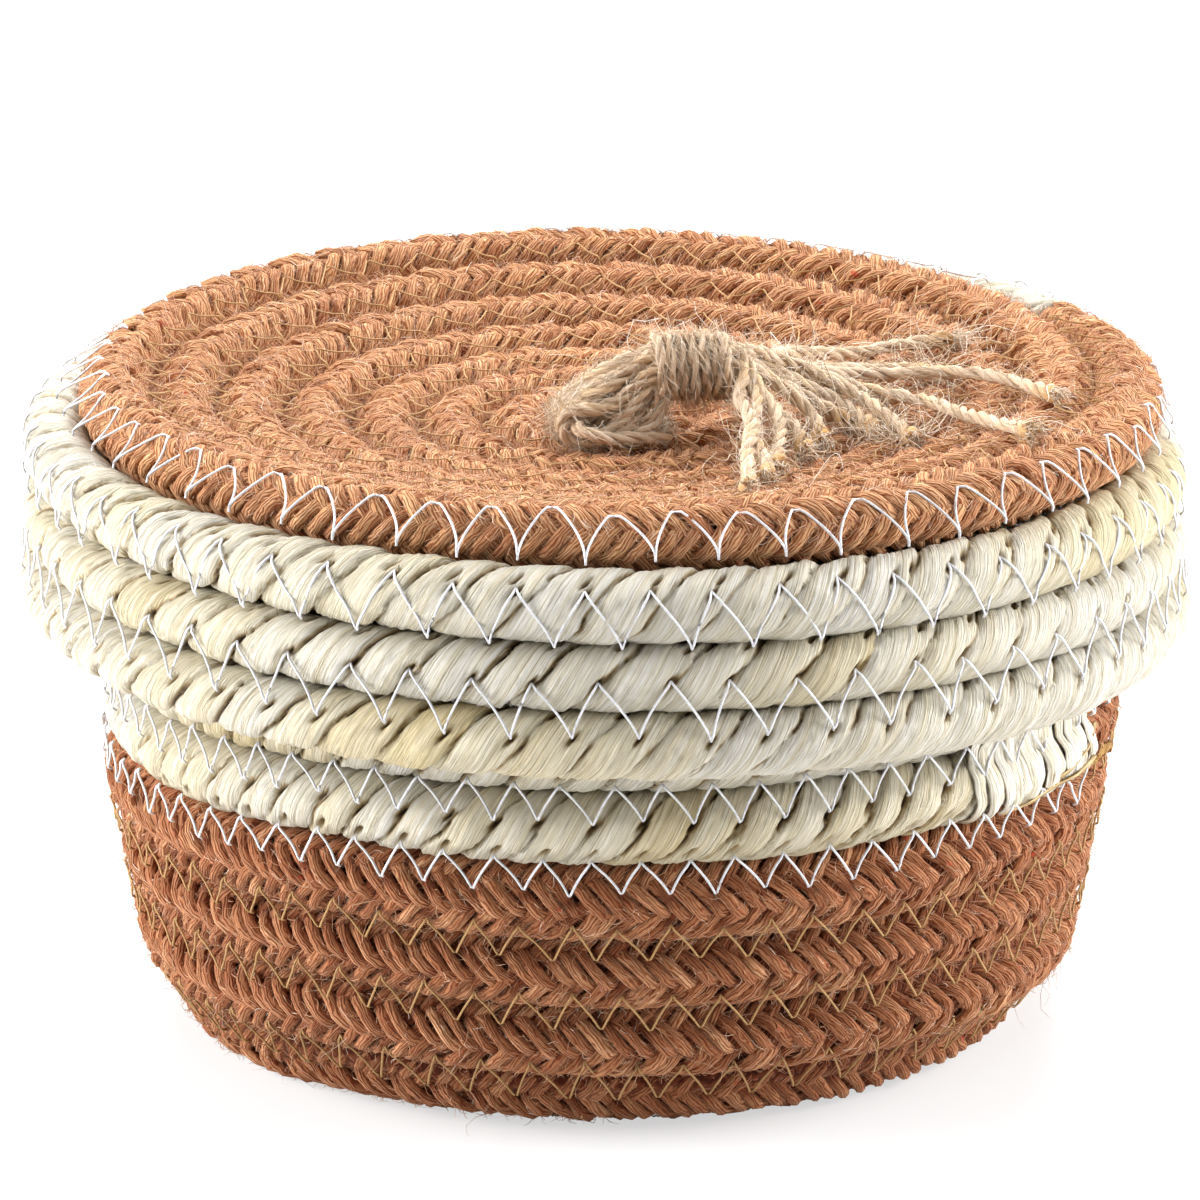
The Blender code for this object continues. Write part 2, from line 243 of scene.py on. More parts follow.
def skin(name, rings, material, marks=None, capped=True):
    # tubes from rings of points: rings[tube, place along it, point round it, xyz]
    tubes, length, sides = rings.shape[:3]
    # what would hang through the table is pressed flat on it
    low = np.minimum(rings[..., 2], pressedBelow)
    height = np.maximum(rings[..., 2], pressedBelow * np.exp(low / pressedBelow - 1))
    rings = np.concatenate([rings[..., :2], height[..., None]], -1)
    points = tubes * length * sides
    index = np.arange(points).reshape(tubes, length, sides)
    a, b = index[:, :-1], index[:, 1:]
    quads = np.stack([a, np.roll(a, -1, 2), np.roll(b, -1, 2), b], -1).reshape(-1, 4)
    loops = quads.ravel()
    starts = np.arange(len(quads)) * 4
    if capped:
        caps = np.concatenate([index[:, 0, ::-1], index[:, -1]]).reshape(-1)
        starts = np.concatenate([starts, len(loops) + np.arange(2 * tubes) * sides])
        loops = np.concatenate([loops, caps])
    mesh = bpy.data.meshes.new(name)
    mesh.vertices.add(points)
    mesh.vertices.foreach_set("co", rings.reshape(-1).astype(np.float32))
    mesh.loops.add(len(loops))
    mesh.loops.foreach_set("vertex_index", loops.astype(np.int32))
    mesh.polygons.add(len(starts))
    mesh.polygons.foreach_set("loop_start", starts.astype(np.int32))
    mesh.polygons.foreach_set("use_smooth", np.ones(len(starts), bool))
    mesh.update(calc_edges=True)
    for key, values in (marks or {}).items():
        values = np.broadcast_to(values, rings.shape[:3] + values.shape[3:])
        kind = "FLOAT_VECTOR" if values.ndim == 4 else "FLOAT"
        field = mesh.attributes.new(key, kind, "POINT")
        field.data.foreach_set("vector" if kind == "FLOAT_VECTOR" else "value", values.reshape(-1).astype(np.float32))
    mesh.materials.append(material)
    made = bpy.data.objects.new(name, mesh)
    bpy.context.scene.collection.objects.link(made)
    return made


# Stitches: zigzag seams between a row and the next one. Angles are measured round a cord from the way that
# faces out of the basket, in degrees, and the next row lies at +90.
stitches = {
    "body cotton": {"pitch": 6.4 * mm, "low": 55.0, "high": -12.0, "lean": 0.41, "round": 1.1, "lift": 0.0, "thread": 0.17 * mm},
    "body husk edge": {"pitch": 6.3 * mm, "low": 34.0, "high": -30.0, "lean": 0.41, "round": 1.25, "lift": 0.45 * mm, "thread": 0.19 * mm},
    "body husk": {"pitch": 6.3 * mm, "low": 24.0, "high": -34.0, "lean": 0.41, "round": 1.25, "lift": 0.0, "thread": 0.19 * mm},
    "lid cotton": {"pitch": 8.2 * mm, "low": 32.0, "high": -34.0, "lean": 0.5, "round": 1.1, "lift": 0.0, "thread": 0.13 * mm},
    "lid husk edge": {"pitch": 8.5 * mm, "low": 14.0, "high": -58.0, "lean": 0.59, "round": 1.9, "lift": 1.0 * mm, "thread": 0.19 * mm},
    "lid husk top": {"pitch": 8.5 * mm, "low": -36.0, "high": -72.0, "lean": 0.59, "round": 1.3, "lift": 0.0, "thread": 0.19 * mm},
    "lid husk": {"pitch": 8.5 * mm, "low": 2.0, "high": -20.0, "lean": 0.59, "round": 1.3, "lift": 0.0, "thread": 0.19 * mm},
}


def cordRadius(which, turn):
    # radius of the drawn cord at a turn, on the body or the lid; rows where cotton meets husk are pressed together
    cord = body if which == "body" else lid
    edge = cord["wallEnd"] if which == "body" else cord["cottonEnd"]
    turn = np.asarray(turn)
    plain = np.where(turn < edge, cord["cottonRadius"], cord["huskRadius"])
    pressed = np.where((turn < edge) & (which == "lid"), 0.12 * mm, 0.35 * mm)
    return plain + pressed * smoothStep((1.1 - np.abs(turn - edge)) / 0.1)


def seamRuns():
    # (name, which winding, stitch style, first turn, last turn) of every seam; turns are those of the lower row
    b, l = body, lid
    return [
        ("body cotton", "body", "body cotton", 0.15, b["wallEnd"] - 1.03),
        ("body husk edge", "body", "body husk edge", b["wallEnd"] - 1.015, b["wallEnd"] - 0.01),
        ("body husk", "body", "body husk", b["wallEnd"] + 0.01, b["rimEnd"] - 1.05),
        ("lid cotton", "lid", "lid cotton", l["start"] + 0.1, l["cottonEnd"] - 1.02),
        ("lid husk edge", "lid", "lid husk edge", l["cottonEnd"] - 0.98, l["cottonEnd"] - 0.01),
        ("lid husk top", "lid", "lid husk top", l["cottonEnd"] + 0.01, l["cottonEnd"] + 0.99),
        ("lid husk", "lid", "lid husk", l["cottonEnd"] + 1.01, l["skirtEnd"] - 1.05),
    ]


def seamHoles():
    # where each seam's needle holes are: turn and angle on the lower and on the next row
    places = {"body": bodyPlace, "lid": lidPlace}
    found = []
    for name, which, style, first, last in seamRuns():
        place = places[which]
        look = stitches[style]
        turns, run = evenTurns(lambda t: (place(t) + place(t + 1)) / 2, first, last, look["pitch"])
        rng = np.random.default_rng(len(name) * 7 + len(found))
        apart = np.diff(turns, append=turns[-1] + (turns[-1] - turns[-2]))
        turns = turns + apart * rng.uniform(-0.07, 0.07, len(turns))
        nextTurns = turns + 1 + apart * 0.0
        # high holes are on the next row of the body and on the earlier row of the lid, which lies above
        shift = apart * look["lean"] + apart * rng.uniform(-0.04, 0.04, len(turns))
        if which == "body":
            holes = {"lowTurn": turns + shift, "highTurn": nextTurns}
        else:
            holes = {"lowTurn": turns, "highTurn": nextTurns + shift}
        jitter = rng.uniform(-5, 5, (2, len(turns)))
        holes["lowAngle"] = np.radians(look["low"] + jitter[0])
        holes["highAngle"] = np.radians(look["high"] + jitter[1])
        holes.update(name=name, which=which, look=look, place=place)
        found.append(holes)
    return found


holes = seamHoles()


def pinch(which, turns, angle, depth, width, slant=0.0, stretch=1.3):
    # how far the threads pull a cord in, at points given by turn and by angle round the cord
    place = bodyPlace if which == "body" else lidPlace
    near = np.linalg.norm(place(turns)[..., :2], axis=-1) * 2 * math.pi
    pull = np.zeros(np.broadcast(turns, angle).shape)
    for seam in holes:
        if seam["which"] != which:
            continue
        for turnKey, angleKey in (("lowTurn", "lowAngle"), ("highTurn", "highAngle")):
            at = seam[turnKey]
            k = np.clip(np.searchsorted(at, turns), 1, len(at) - 1)
            left, right = at[k - 1], at[k]
            nearest = np.where(turns - left < right - turns, k - 1, k)
            alongGap = (turns - at[nearest]) * near
            for face in (0.0, math.pi):
                centre = seam[angleKey][nearest]
                centre = centre if face == 0.0 else math.pi - centre
                aroundGap = (angle - centre + math.pi) % (2 * math.pi) - math.pi
                aroundGap = aroundGap * 5.0 * mm
                alongGap2 = alongGap + slant * aroundGap
                pull = np.maximum(pull, np.exp(-(alongGap2 / width) ** 2 - (aroundGap / (stretch * width)) ** 2))
    return pull * depth


# Braided cotton cord: flat bundles of soft yarn wind both ways and pass over and under, so that they meet in V's
braid = {
    "bundles": {"body": 10, "lid": 8}, "lay": 26.5 * mm, "step": 0.95 * mm, "around": 8,
    "wave": 0.6 * mm, "thick": 0.92 * mm, "wide": 0.82,
    # how much wider the flat rows are than high, up to which turn, and over how much of a turn that fades
    "bulge": {"body": (0.12, 4.6, 0.6), "lid": (0.06, 7.4, 0.4)},
}


def makeBraid(name, which, first, last, radius, seed, material, step, toneAndPaintedShade):
    place = bodyPlace if which == "body" else lidPlace
    turns, run = evenTurns(place, first, last, step)
    centre, along, outward, across = cordFrame(place, turns)
    rng = np.random.default_rng(seed)
    scale = radius / (5.75 * mm)
    count = braid["bundles"][which]
    wave, thick = braid["wave"] * scale, braid["thick"] * scale
    middle = cordRadius(which, turns) - wave - thick * 0.86
    # the flat rows are sewn so close that they bulge against each other
    bulge, flatEnd, fade = braid["bulge"][which]
    pressed = 1 + bulge * smoothStep((flatEnd - turns) / fade)
    lay = braid["lay"] * scale
    wide = braid["wide"] * lay / count
    allRings, yarn, tone, paintedShade, outside = [], [], [], [], []
    for way in (1, -1):
        for k in range(count):
            wobble = 0.15 * noise(np.stack([run / (6 * mm), run * 0 + k, run * 0 + way], -1), seed)
            angle = way * 2 * math.pi * run / lay + 2 * math.pi * (k + 0.25) / count + wobble
            lift = way * np.sin(3 * angle)
            lift = np.sign(lift) * np.abs(lift) ** 0.75
            rough = noise(np.stack([run / (3.4 * mm), run * 0 + 3.3 * k, run * 0 + way], -1), seed + 1)
            pull = pinch(which, turns, angle, 1.1 * mm, 1.5 * mm)
            out = middle + wave * lift + 0.26 * mm * rough - pull
            radial = outward * np.cos(angle)[:, None] + across * (np.sin(angle) * pressed)[:, None]
            path = centre + radial * out[:, None]
            heading = unit(np.gradient(path, axis=0))
            sideways = unit(np.cross(heading, radial))
            up = unit(np.cross(sideways, heading))
            plump = 1 + 0.16 * lift + 0.14 * noise(np.stack([run / (2.8 * mm), run * 0 + k, run * 0 + 9 * way], -1), seed + 5)
            a = np.linspace(0, 2 * math.pi, braid["around"], endpoint=False)
            # flatter below than above
            flatX = np.sign(np.cos(a)) * np.abs(np.cos(a)) ** 0.85 * wide / 2
            flatY = np.where(np.sin(a) > 0, np.sin(a), 0.55 * np.sin(a)) * thick
            rings = path[:, None] + sideways[:, None] * (flatX * 1.0)[None, :, None] * (2 - plump)[:, None, None]
            rings = rings + up[:, None] * flatY[None, :, None] * plump[:, None, None]
            allRings.append(rings)
            outside.append(np.cos(angle) > 0.0)
            spin = run / (16 * mm) * way
            offset = rng.uniform(0, 400)
            across2 = np.stack([
                1.1 * np.cos(a[None] + spin[:, None]), 1.1 * np.sin(a[None] + spin[:, None]),
                np.broadcast_to((run / mm * 1.4 + offset)[:, None], (len(run), len(a))),
            ], -1)
            yarn.append(across2)
            # tone: the given level, which paints the wall's cotton darker than the lid's as shade under the lid, with
            # slow random variation
            shade = noise(np.stack([run / (7 * mm), run * 0 + 5.1 * k, run * 0 + way], -1), seed + 2)
            tone.append(np.broadcast_to((toneAndPaintedShade + 0.35 * shade + rng.uniform(-0.1, 0.1))[:, None], (len(run), len(a))))
            # painted shade: darker where a bundle dips under the others, on its underside and where the threads pull it
            # in; half as strong on the lid
            low = np.clip(0.5 - 0.5 * lift[:, None] - 0.35 * np.sin(a)[None, :], 0, 1)
            paintedShade.append(np.clip(low + (pull / (1.1 * mm))[:, None] * 0.8, 0, 1) * (0.5 if which == "lid" else 1.0))
    rings = np.stack(allRings)
    marks = {"yarn": np.stack(yarn), "tone": np.stack(tone), "paintedShade": np.stack(paintedShade)}
    marks["across"] = np.cos(a)[None, None] * wide / 2 / mm + np.zeros(rings.shape[:3])
    return skin(name, rings, material, marks), rings, np.stack(outside)


# Filling of a flat row's cord: soft cotton that bulges out to the next row, so that no light comes through there
filling = {"step": 2.0 * mm, "around": 16, "high": 3.0 * mm, "past": 0.3 * mm, "body": (body["curledIn"], 4.9), "lid": (lid["start"], 7.2)}


def makeFilling(name, which, material):
    place = bodyPlace if which == "body" else lidPlace
    turns, run = evenTurns(place, *filling[which], filling["step"])
    centre, along, outward, across = cordFrame(place, turns)
    reach = np.linalg.norm(place(turns + 1) - centre, axis=1) / 2 + filling["past"]
    a = np.linspace(0, 2 * math.pi, filling["around"], endpoint=False)
    rings = centre[:, None] + outward[:, None] * (np.cos(a) * filling["high"])[:, None]
    rings = rings + across[:, None] * (np.sin(a) * reach[:, None])[..., None]
    yarn = np.stack([1.1 * np.cos(a) + 0 * run[:, None], 1.1 * np.sin(a) + 0 * run[:, None], run[:, None] / mm * 1.4 + 0 * a], -1)
    # painted shade: the filling is coloured dark, as in the shade between the rows
    marks = {"yarn": yarn[None], "tone": np.full((1, 1, 1), 0.15), "paintedShade": np.full((1, 1, 1), 0.9), "across": np.sin(a)[None, None] * 2}
    return skin(name, rings[None], material, marks)


# Husk cord: strips of dried corn husk wound round a core, each lapped over the one before
huskWrap = {
    "step": 0.5 * mm, "around": 50, "stripLay": 21.0 * mm, "veinLay": 15.5 * mm,
    "lap": 0.5 * mm, "pillow": 0.5 * mm, "slit": 1.0 * mm, "crease": 0.34 * mm,
}


def stripEdges(which, first, last, turns, run):
    # lengths along a cord at which the strips lap: one at each stitch, and evenly on where there is none
    cord = body if which == "body" else lid
    at = np.concatenate([seam["lowTurn"] for seam in holes if seam["which"] == which])
    at = np.sort(at[(at > first) & (at < last)])
    edges = np.interp(at, turns, run)
    pitch = np.median(np.diff(edges))
    edges = edges[np.concatenate([[True], np.diff(edges) > 0.6 * pitch])]
    before = edges[0] - pitch * np.arange(8, 0, -1)
    after = np.arange(edges[-1] + pitch, run[-1] + 9 * pitch, pitch)
    return np.concatenate([before, edges, after])


def makeHusk(name, which, first, last, radius, seed, material):
    place = bodyPlace if which == "body" else lidPlace
    turns, run = evenTurns(place, first, last, huskWrap["step"] * stepScale)
    around = int(huskWrap["around"] / stepScale)
    phi = np.linspace(-math.pi, math.pi, around, endpoint=False)[None, :]
    # the grid is sheared so that its lines run along the strips, except on the inner face and near the ends
    slant = -huskWrap["stripLay"] / (2 * math.pi) * np.where(np.abs(phi) < 2.2, phi, np.sign(phi) * 2.2 * smoothStep((math.pi - np.abs(phi)) / 0.94))
    nearEnd = smoothStep(np.minimum(run, run[-1] - run) / (14 * mm))[:, None]
    u = run[:, None] + slant * nearEnd
    turnGrid = np.interp(u, run, turns)
    centre, along, outward, across = cordFrame(place, turnGrid)
    onCircle = np.stack([np.cos(phi) + u * 0, np.sin(phi) + u * 0, u / (6 * mm)], -1)
    # the strips' edges pass through the stitches and run up to the right on the front
    edges = stripEdges(which, first, last, turns, run)
    wander = 0.9 * mm * noise(onCircle * np.array([1.6, 1.6, 1.4]), seed)
    onStrip = u + huskWrap["stripLay"] / (2 * math.pi) * (phi - 0.25) + wander
    strip = np.interp(onStrip, edges, np.arange(len(edges)))
    number = np.floor(strip)
    part = strip - number
    inFront = smoothStep((math.pi - np.abs(phi)) / 0.5) + 0 * u
    character = lattice(number.astype(np.int64), number.astype(np.int64) * 0, number.astype(np.int64) * 0, seed + 9)
    pillow = huskWrap["pillow"] * (0.75 + 0.35 * character) * (np.sin(np.pi * np.clip(part, 0, 1)) ** 0.55 - 0.6)
    lapped = huskWrap["lap"] * (part - 0.5) * (0.8 + 0.5 * character)
    strength = 0.25 + 0.75 * np.clip(noise(np.stack([number * 0.77, number * 0.31, phi * 1.4 + u * 0], -1), seed + 5) + 0.55, 0, 1)
    slitShape = np.exp(-(np.minimum(part, 1 - part) / 0.055) ** 2) * strength
    untwisted = u / huskWrap["veinLay"] * 2 * math.pi + phi
    fibre = np.stack([5 * np.cos(untwisted), 5 * np.sin(untwisted), u / (9 * mm) + phi * 0], -1)
    ridge = noise(fibre * np.array([1.9, 1.9, 1.0]) + number[..., None] * 3.7, seed + 2)
    fold = noise(fibre * np.array([0.8, 0.8, 1.2]) + number[..., None] * 1.9, seed + 3)
    fine = noise(fibre * np.array([4.2, 4.2, 1.4]) + number[..., None] * 2.3, seed + 7)
    crease = -np.maximum(0, 0.4 - np.abs(ridge)) / 0.4 * huskWrap["crease"] * (0.35 + 0.65 * np.clip(fold + 0.3, 0, 1))
    swell = 0.2 * mm * noise(onCircle * np.array([0.7, 0.7, 0.8]), seed + 4)
    phiGrid = np.broadcast_to(phi, strip.shape)
    slope = huskWrap["stripLay"] / (2 * math.pi * radius)
    pull = pinch(which, turnGrid, phiGrid, 1.0, 0.42 * mm, slope, 2.6)
    wide = pinch(which, turnGrid, phiGrid, 0.35 * mm, 2.2 * mm)
    out = cordRadius(which, turnGrid) + inFront * (pillow + lapped - slitShape * huskWrap["slit"] * 0.8) + crease + swell
    out = out + 0.12 * mm * fold + 0.09 * mm * fine - 1.5 * mm * pull - wide
    radial = outward * np.cos(phi)[..., None] + across * np.sin(phi)[..., None]
    rings = centre + radial * out[..., None]
    drift = noise(np.stack([u / (34 * mm) + phi * 0, number * 0.21, phi * 0 + u * 0], -1), seed + 6)
    # painted shade: darker in the slits between strips, along the creases and where the threads pull the cord in
    paintedShade = inFront * slitShape ** 1.5 * 1.1 + pull * 1.1 + np.clip(-crease / huskWrap["crease"], 0, 1) * 0.28
    marks = {
        "fibre": np.stack([radius / mm * np.cos(untwisted), radius / mm * np.sin(untwisted), u / mm + number * 37.0], -1)[None],
        "tone": np.clip(0.45 + 0.22 * character + 0.55 * drift, 0, 1)[None],
        "paintedShade": np.clip(paintedShade, 0, 1)[None],
    }
    return skin(name, rings[None], material, marks)


# The end of the husk wrap, where it goes on from the cotton: flat strands laid down over both rows. Each one is
# (turn and distance across where it starts, the same where it ends, how golden, width); distances are in mm from
# the middle of the lower row towards the next one
tail = {
    "strands": 18, "first": 7.818, "last": 7.878, "drift": -0.006, "wide": 2.9, "thick": 0.2 * mm,
    "scraps": (
        (7.812, 3.0, 7.847, -5.1, 0.55, 1.3), (7.818, -1.0, 7.86, -5.4, 0.6, 1.1), (7.81, -3.2, 7.789, -3.4, 1.0, 1.7),
        (7.815, -4.2, 7.795, -2.4, 1.0, 1.1),
    ),
}


def makeTail(name, material):
    rng = np.random.default_rng(71)
    strands = []
    for k in range(tail["strands"]):
        part = k / (tail["strands"] - 1)
        turn = tail["first"] + (tail["last"] - tail["first"]) * part + rng.uniform(-0.0012, 0.0012)
        low = -3.0 - 2.5 * smoothStep(part / 0.5) + rng.uniform(-0.25, 0.25)
        strands.append((turn, 9.2, turn + tail["drift"] + rng.uniform(-0.002, 0.002), low, 0.0, tail["wide"] * rng.uniform(0.7, 1.1)))
    strands.extend(tail["scraps"])
    allRings, marks = [], {"fibre": [], "tone": [], "paintedShade": [], "gold": []}
    a = np.linspace(0, 2 * math.pi, 12, endpoint=False)
    w = np.linspace(0, 1, 40)
    for k, (turnA, acrossA, turnB, acrossB, gold, wide) in enumerate(strands):
        turn = turnA + (turnB - turnA) * smoothStep(w) + 0.0006 * noise(np.stack([w * 5, w * 0 + k, w * 0], -1), 72)
        x = (acrossA + (acrossB - acrossA) * w) * mm
        first, along, outA, across = cordFrame(bodyPlace, turn)
        second = bodyPlace(turn + 1)
        span = np.linalg.norm(second - first, axis=1)
        proud = (0.25 + 0.5 * ((k * 5) % 3) / 2 + 0.3 * (gold > 0)) * mm + 0.2 * mm * noise(np.stack([w * 7, w * 0 + k, w * 0 + 4], -1), 73)
        reach = body["huskRadius"] + 0.35 * mm + proud + 0.7 * mm * smoothStep((7.842 - turn) / 0.014)
        onA = np.sqrt(np.maximum(reach ** 2 - x ** 2, 0))
        onB = np.sqrt(np.maximum(reach ** 2 - (x - span) ** 2, 0))
        bridge = np.where((x > 0) & (x < span), reach - 1.3 * mm, 0.0)
        height = np.maximum(np.maximum(onA, onB), bridge)
        path = first + unit(second - first) * x[:, None] + outA * height[:, None]
        normal = unit(np.where((x < 0)[:, None], path - first, outA))
        narrow = np.minimum(1.0, 0.35 + 5 * (1 - w)) * (1 + 0.25 * noise(np.stack([w * 4, w * 0 + k, w * 0 + 8], -1), 74))
        half = wide / 2 * mm * narrow
        wrinkle = 0.22 * mm * noise(np.stack([np.cos(a)[None] * 1.8 + w[:, None] * 0, w[:, None] * 6 + a * 0, a * 0 + w[:, None] * 0 + k], -1), 75)
        rings = path[:, None] + along[:, None] * (half[:, None] * np.cos(a))[..., None]
        rings = rings + normal[:, None] * (tail["thick"] * np.sin(a)[None] + wrinkle - 0.35 * mm * np.abs(np.cos(a))[None] ** 3)[..., None]
        allRings.append(rings)
        flat = np.ones((len(w), len(a)))
        marks["fibre"].append(np.stack([half[:, None] / mm * np.cos(a), 0.4 * np.sin(a) * flat, (x / mm)[:, None] * flat + 37.0 * k], -1))
        marks["tone"].append(flat * (0.05 + 0.3 * rng.random() + 0.6 * (gold > 0)))
        # painted shade along the edges of each strand
        marks["paintedShade"].append(flat * 0.5 * np.abs(np.cos(a)) ** 6)
        marks["gold"].append(flat * gold)
    return skin(name, np.stack(allRings), material, {key: np.stack(values) for key, values in marks.items()})


# Sewing thread: a zigzag that spans each seam, outside and inside
def seamThread(seam, inside):
    # points of one thread: out of a hole in the higher row, over the seam, into the lower row, and back
    look, place, which = seam["look"], seam["place"], seam["which"]
    radius = look["thread"]
    flip = -1.0 if inside else 1.0

    n = len(seam["lowTurn"])
    lowTurn, highTurn = seam["lowTurn"], seam["highTurn"]
    lowAngle, highAngle = seam["lowAngle"], seam["highAngle"]
    strokes = []
    for k in range(n):
        legs = [(lowTurn[k], lowAngle[k], highTurn[k], highAngle[k], 1)]
        if which == "body":
            other = k + 1
            if other < n:
                legs.append((lowTurn[k], lowAngle[k], highTurn[other], highAngle[other], 1))
        else:
            other = k + 1
            if other < n:
                legs.append((lowTurn[other], lowAngle[other], highTurn[k], highAngle[k], 1))
        strokes.extend(legs)
    strokes = np.array(strokes)
    tLow, aLow, tHigh, aHigh = strokes[:, 0], strokes[:, 1], strokes[:, 2] - 1, strokes[:, 3]
    steps = 13
    path = []
    for j in range(steps):
        w = j / (steps - 1)
        eased = w ** look["round"] if which == "body" else 1 - (1 - w) ** look["round"]
        turn = tLow + (tHigh - tLow) * eased
        first, _, outA, acrossA = cordFrame(place, turn)
        second, _, outB, acrossB = cordFrame(place, turn + 1)
        rA = cordRadius(which, turn) + radius * 0.8 + look["lift"]
        rB = cordRadius(which, turn + 1) + radius * 0.8
        # position from the hole on one cord to the hole on the other, seen in the section of the two
        span = np.linalg.norm(second - first, axis=1)
        startX = np.sin(aLow) * rA
        endX = span + np.sin(aHigh) * rB
        x = startX * (1 - w) + endX * w
        onA = np.sqrt(np.maximum(rA ** 2 - x ** 2, 0))
        onB = np.sqrt(np.maximum(rB ** 2 - (x - span) ** 2, 0))
        bridge = np.where((x > 0) & (x < span), rA * (1 - x / span) + rB * (x / span), 0.0)
        # a taut thread sinks a little where it crosses the groove
        sink = 0.35 * mm * np.sin(np.pi * w)
        height = np.maximum(np.maximum(onA, onB), bridge - sink) - sink * 0.3
        dive = (0.9 * mm) * (max(0.0, 1 - w / 0.1) + 0.8 * max(0.0, 1 - (1 - w) / 0.1))
        mix = np.clip(x / span, 0, 1)[:, None]
        out = unit(outA * (1 - mix) + outB * mix)
        axis = unit(second - first)
        point = first + axis * x[:, None] + flip * out * (height - dive)[:, None]
        path.append(point)
    return np.stack(path, 1), radius


def tubeRings(paths, radius, sides):
    # rings round many paths of equal length: paths[tube, place, xyz], radius a number or [tube, place]
    heading = unit(np.gradient(paths, axis=1))
    helper = np.zeros_like(heading)
    helper[..., 2] = 1.0
    steep = np.abs(heading[..., 2]) > 0.93
    helper[steep] = (1.0, 0.0, 0.0)
    side = unit(np.cross(heading, helper))
    up = np.cross(side, heading)
    a = np.linspace(0, 2 * math.pi, sides, endpoint=False)
    size = np.broadcast_to(np.asarray(radius, float), paths.shape[:2])[..., None, None]
    return paths[:, :, None] + size * (side[:, :, None] * np.cos(a)[:, None] + up[:, :, None] * np.sin(a)[:, None])


# Loose fibres: each one is a thin bent tube that starts at a root and heads off in a direction
def looseFibres(root, direction, length, radius, bend, rng, steps=5):
    # paths of many fibres, and the rings round them, pointed at the free end
    count = len(root)
    turn = rng.normal(0, 1, (count, 1, 3)) * bend
    sway = rng.normal(0, 1, (count, 1, 3)) * bend
    w = np.linspace(0, 1, steps)[None, :, None]
    heading = unit(unit(direction)[:, None] + turn * w + sway * np.sin(w * 5.0 + rng.uniform(0, 6, (count, 1, 1))))
    stride = heading[:, :-1] * (length / (steps - 1))[:, None, None]
    path = root[:, None] + np.concatenate([np.zeros((count, 1, 3)), np.cumsum(stride, axis=1)], axis=1)
    taper = 1 - 0.6 * np.linspace(0, 1, steps) ** 2
    return path, tubeRings(path, radius[:, None] * taper[None], 3)


# Tassel: six jute yarns folded over the anchor yarn, bound at the neck and spread over the lid
tassel = {
    "eye": np.array([-5.0, -16.0, 93.3]) * mm, "heading": math.radians(5.0),
    "neckAhead": 17.0 * mm, "neckRise": 7.0 * mm, "neckLength": 11.5 * mm,
    "foldPitch": 1.85 * mm, "neckPitch": 1.5 * mm, "fold": 2.4 * mm,
    # each free strand from the front one round to the back one, in mm: where it ends on the lid, and a point
    # half-way with its height over the lid
    "ends": ((19, -56), (22, -47.5), (24.5, -39), (27.7, -31), (30.5, -23), (34.5, -14), (38.5, -20), (43, -27),
             (59, -41), (64.3, -17.6), (47.3, 6), (50.6, 19.3)),
    "halfWay": ((19.5, -31, 5.5), (21.3, -27.5, 5.5), (23, -24, 5.5), (24.8, -20, 5.5), (26.8, -16.5, 5.5), (28.5, -12, 5.5),
                (31, -9.5, 5.0), (34.5, -7.5, 4.5), (42, -8, 3.0), (42, 2, 4.0), (35.5, 3.5, 4.5), (33, 13, 4.5)),
    "arches": (-2.2, -0.6, 1.0, 0.6, 1.3, 1.3),
    "sides": (-1.5, -0.5, -0.5, 0.5, 0.5, 1.5), "layers": (0.5, 1.62, 0.5, 0.5, 1.62, 0.5),
    "loops": (12.5, 11.0, 12.0, 10.0, 11.0, 9.0), "sags": (1.2, 2.6, 4.0, 1.0, 2.0, 0.0),
    "drops": (0.3, 0.65, 1.0, 0.4, 0.9, 0.2),
    "ply": 0.59 * mm, "apart": 0.46 * mm, "lay": 9.0 * mm, "step": 0.4 * mm,
    "bindingTurns": 7, "bindingPly": 0.45 * mm, "lieHigh": 1.5 * mm,
}
forward = np.array([math.cos(tassel["heading"]), math.sin(tassel["heading"]), 0.0])
sideward = np.array([-math.sin(tassel["heading"]), math.cos(tassel["heading"]), 0.0])
upward = np.array([0.0, 0.0, 1.0])
neckCentre = tassel["eye"] + forward * tassel["neckAhead"] + upward * tassel["neckRise"]


def lidCrest(x, y):
    # height of the crests of the lid's rows
    bend = lid["dishArc"] / math.radians(lid["dishAngle"])
    out = max(math.hypot(x, y) - lid["holeRadius"] - lid["flat"], 0.0)
    return lid["height"] + bend * (1 - math.sqrt(1 - (out / bend) ** 2)) + lid["tilt"] * y + 4.375 * mm


def smoothPath(points, step):
    # a smooth curve of even steps near the points of a route
    points = np.asarray(points)
    run = np.concatenate([[0.0], np.cumsum(np.linalg.norm(np.diff(points, axis=0), axis=1))])
    even = np.linspace(0, run[-1], max(int(run[-1] / step), 8) + 1)
    path = np.stack([np.interp(even, run, points[:, i]) for i in range(3)], -1)
    weights = np.array([1, 4, 6, 4, 1]) / 16
    for _ in range(6):
        padded = np.concatenate([2 * path[:1] - path[2:0:-1], path, 2 * path[-1:] - path[-2:-4:-1]])
        path = sum(w * padded[i:i + len(path)] for i, w in enumerate(weights))
    return path


def carried(path):
    # heading of a path and two sideways directions that don't spin round it
    heading = unit(np.gradient(path, axis=0))
    side = np.zeros_like(path)
    start = np.array([0.0, 0.0, 1.0]) if abs(heading[0, 2]) < 0.9 else np.array([1.0, 0.0, 0.0])
    side[0] = unit(np.cross(heading[0], start))
    for k in range(1, len(path)):
        side[k] = unit(side[k - 1] - heading[k] * np.dot(side[k - 1], heading[k]))
    return heading, side, np.cross(heading, side)


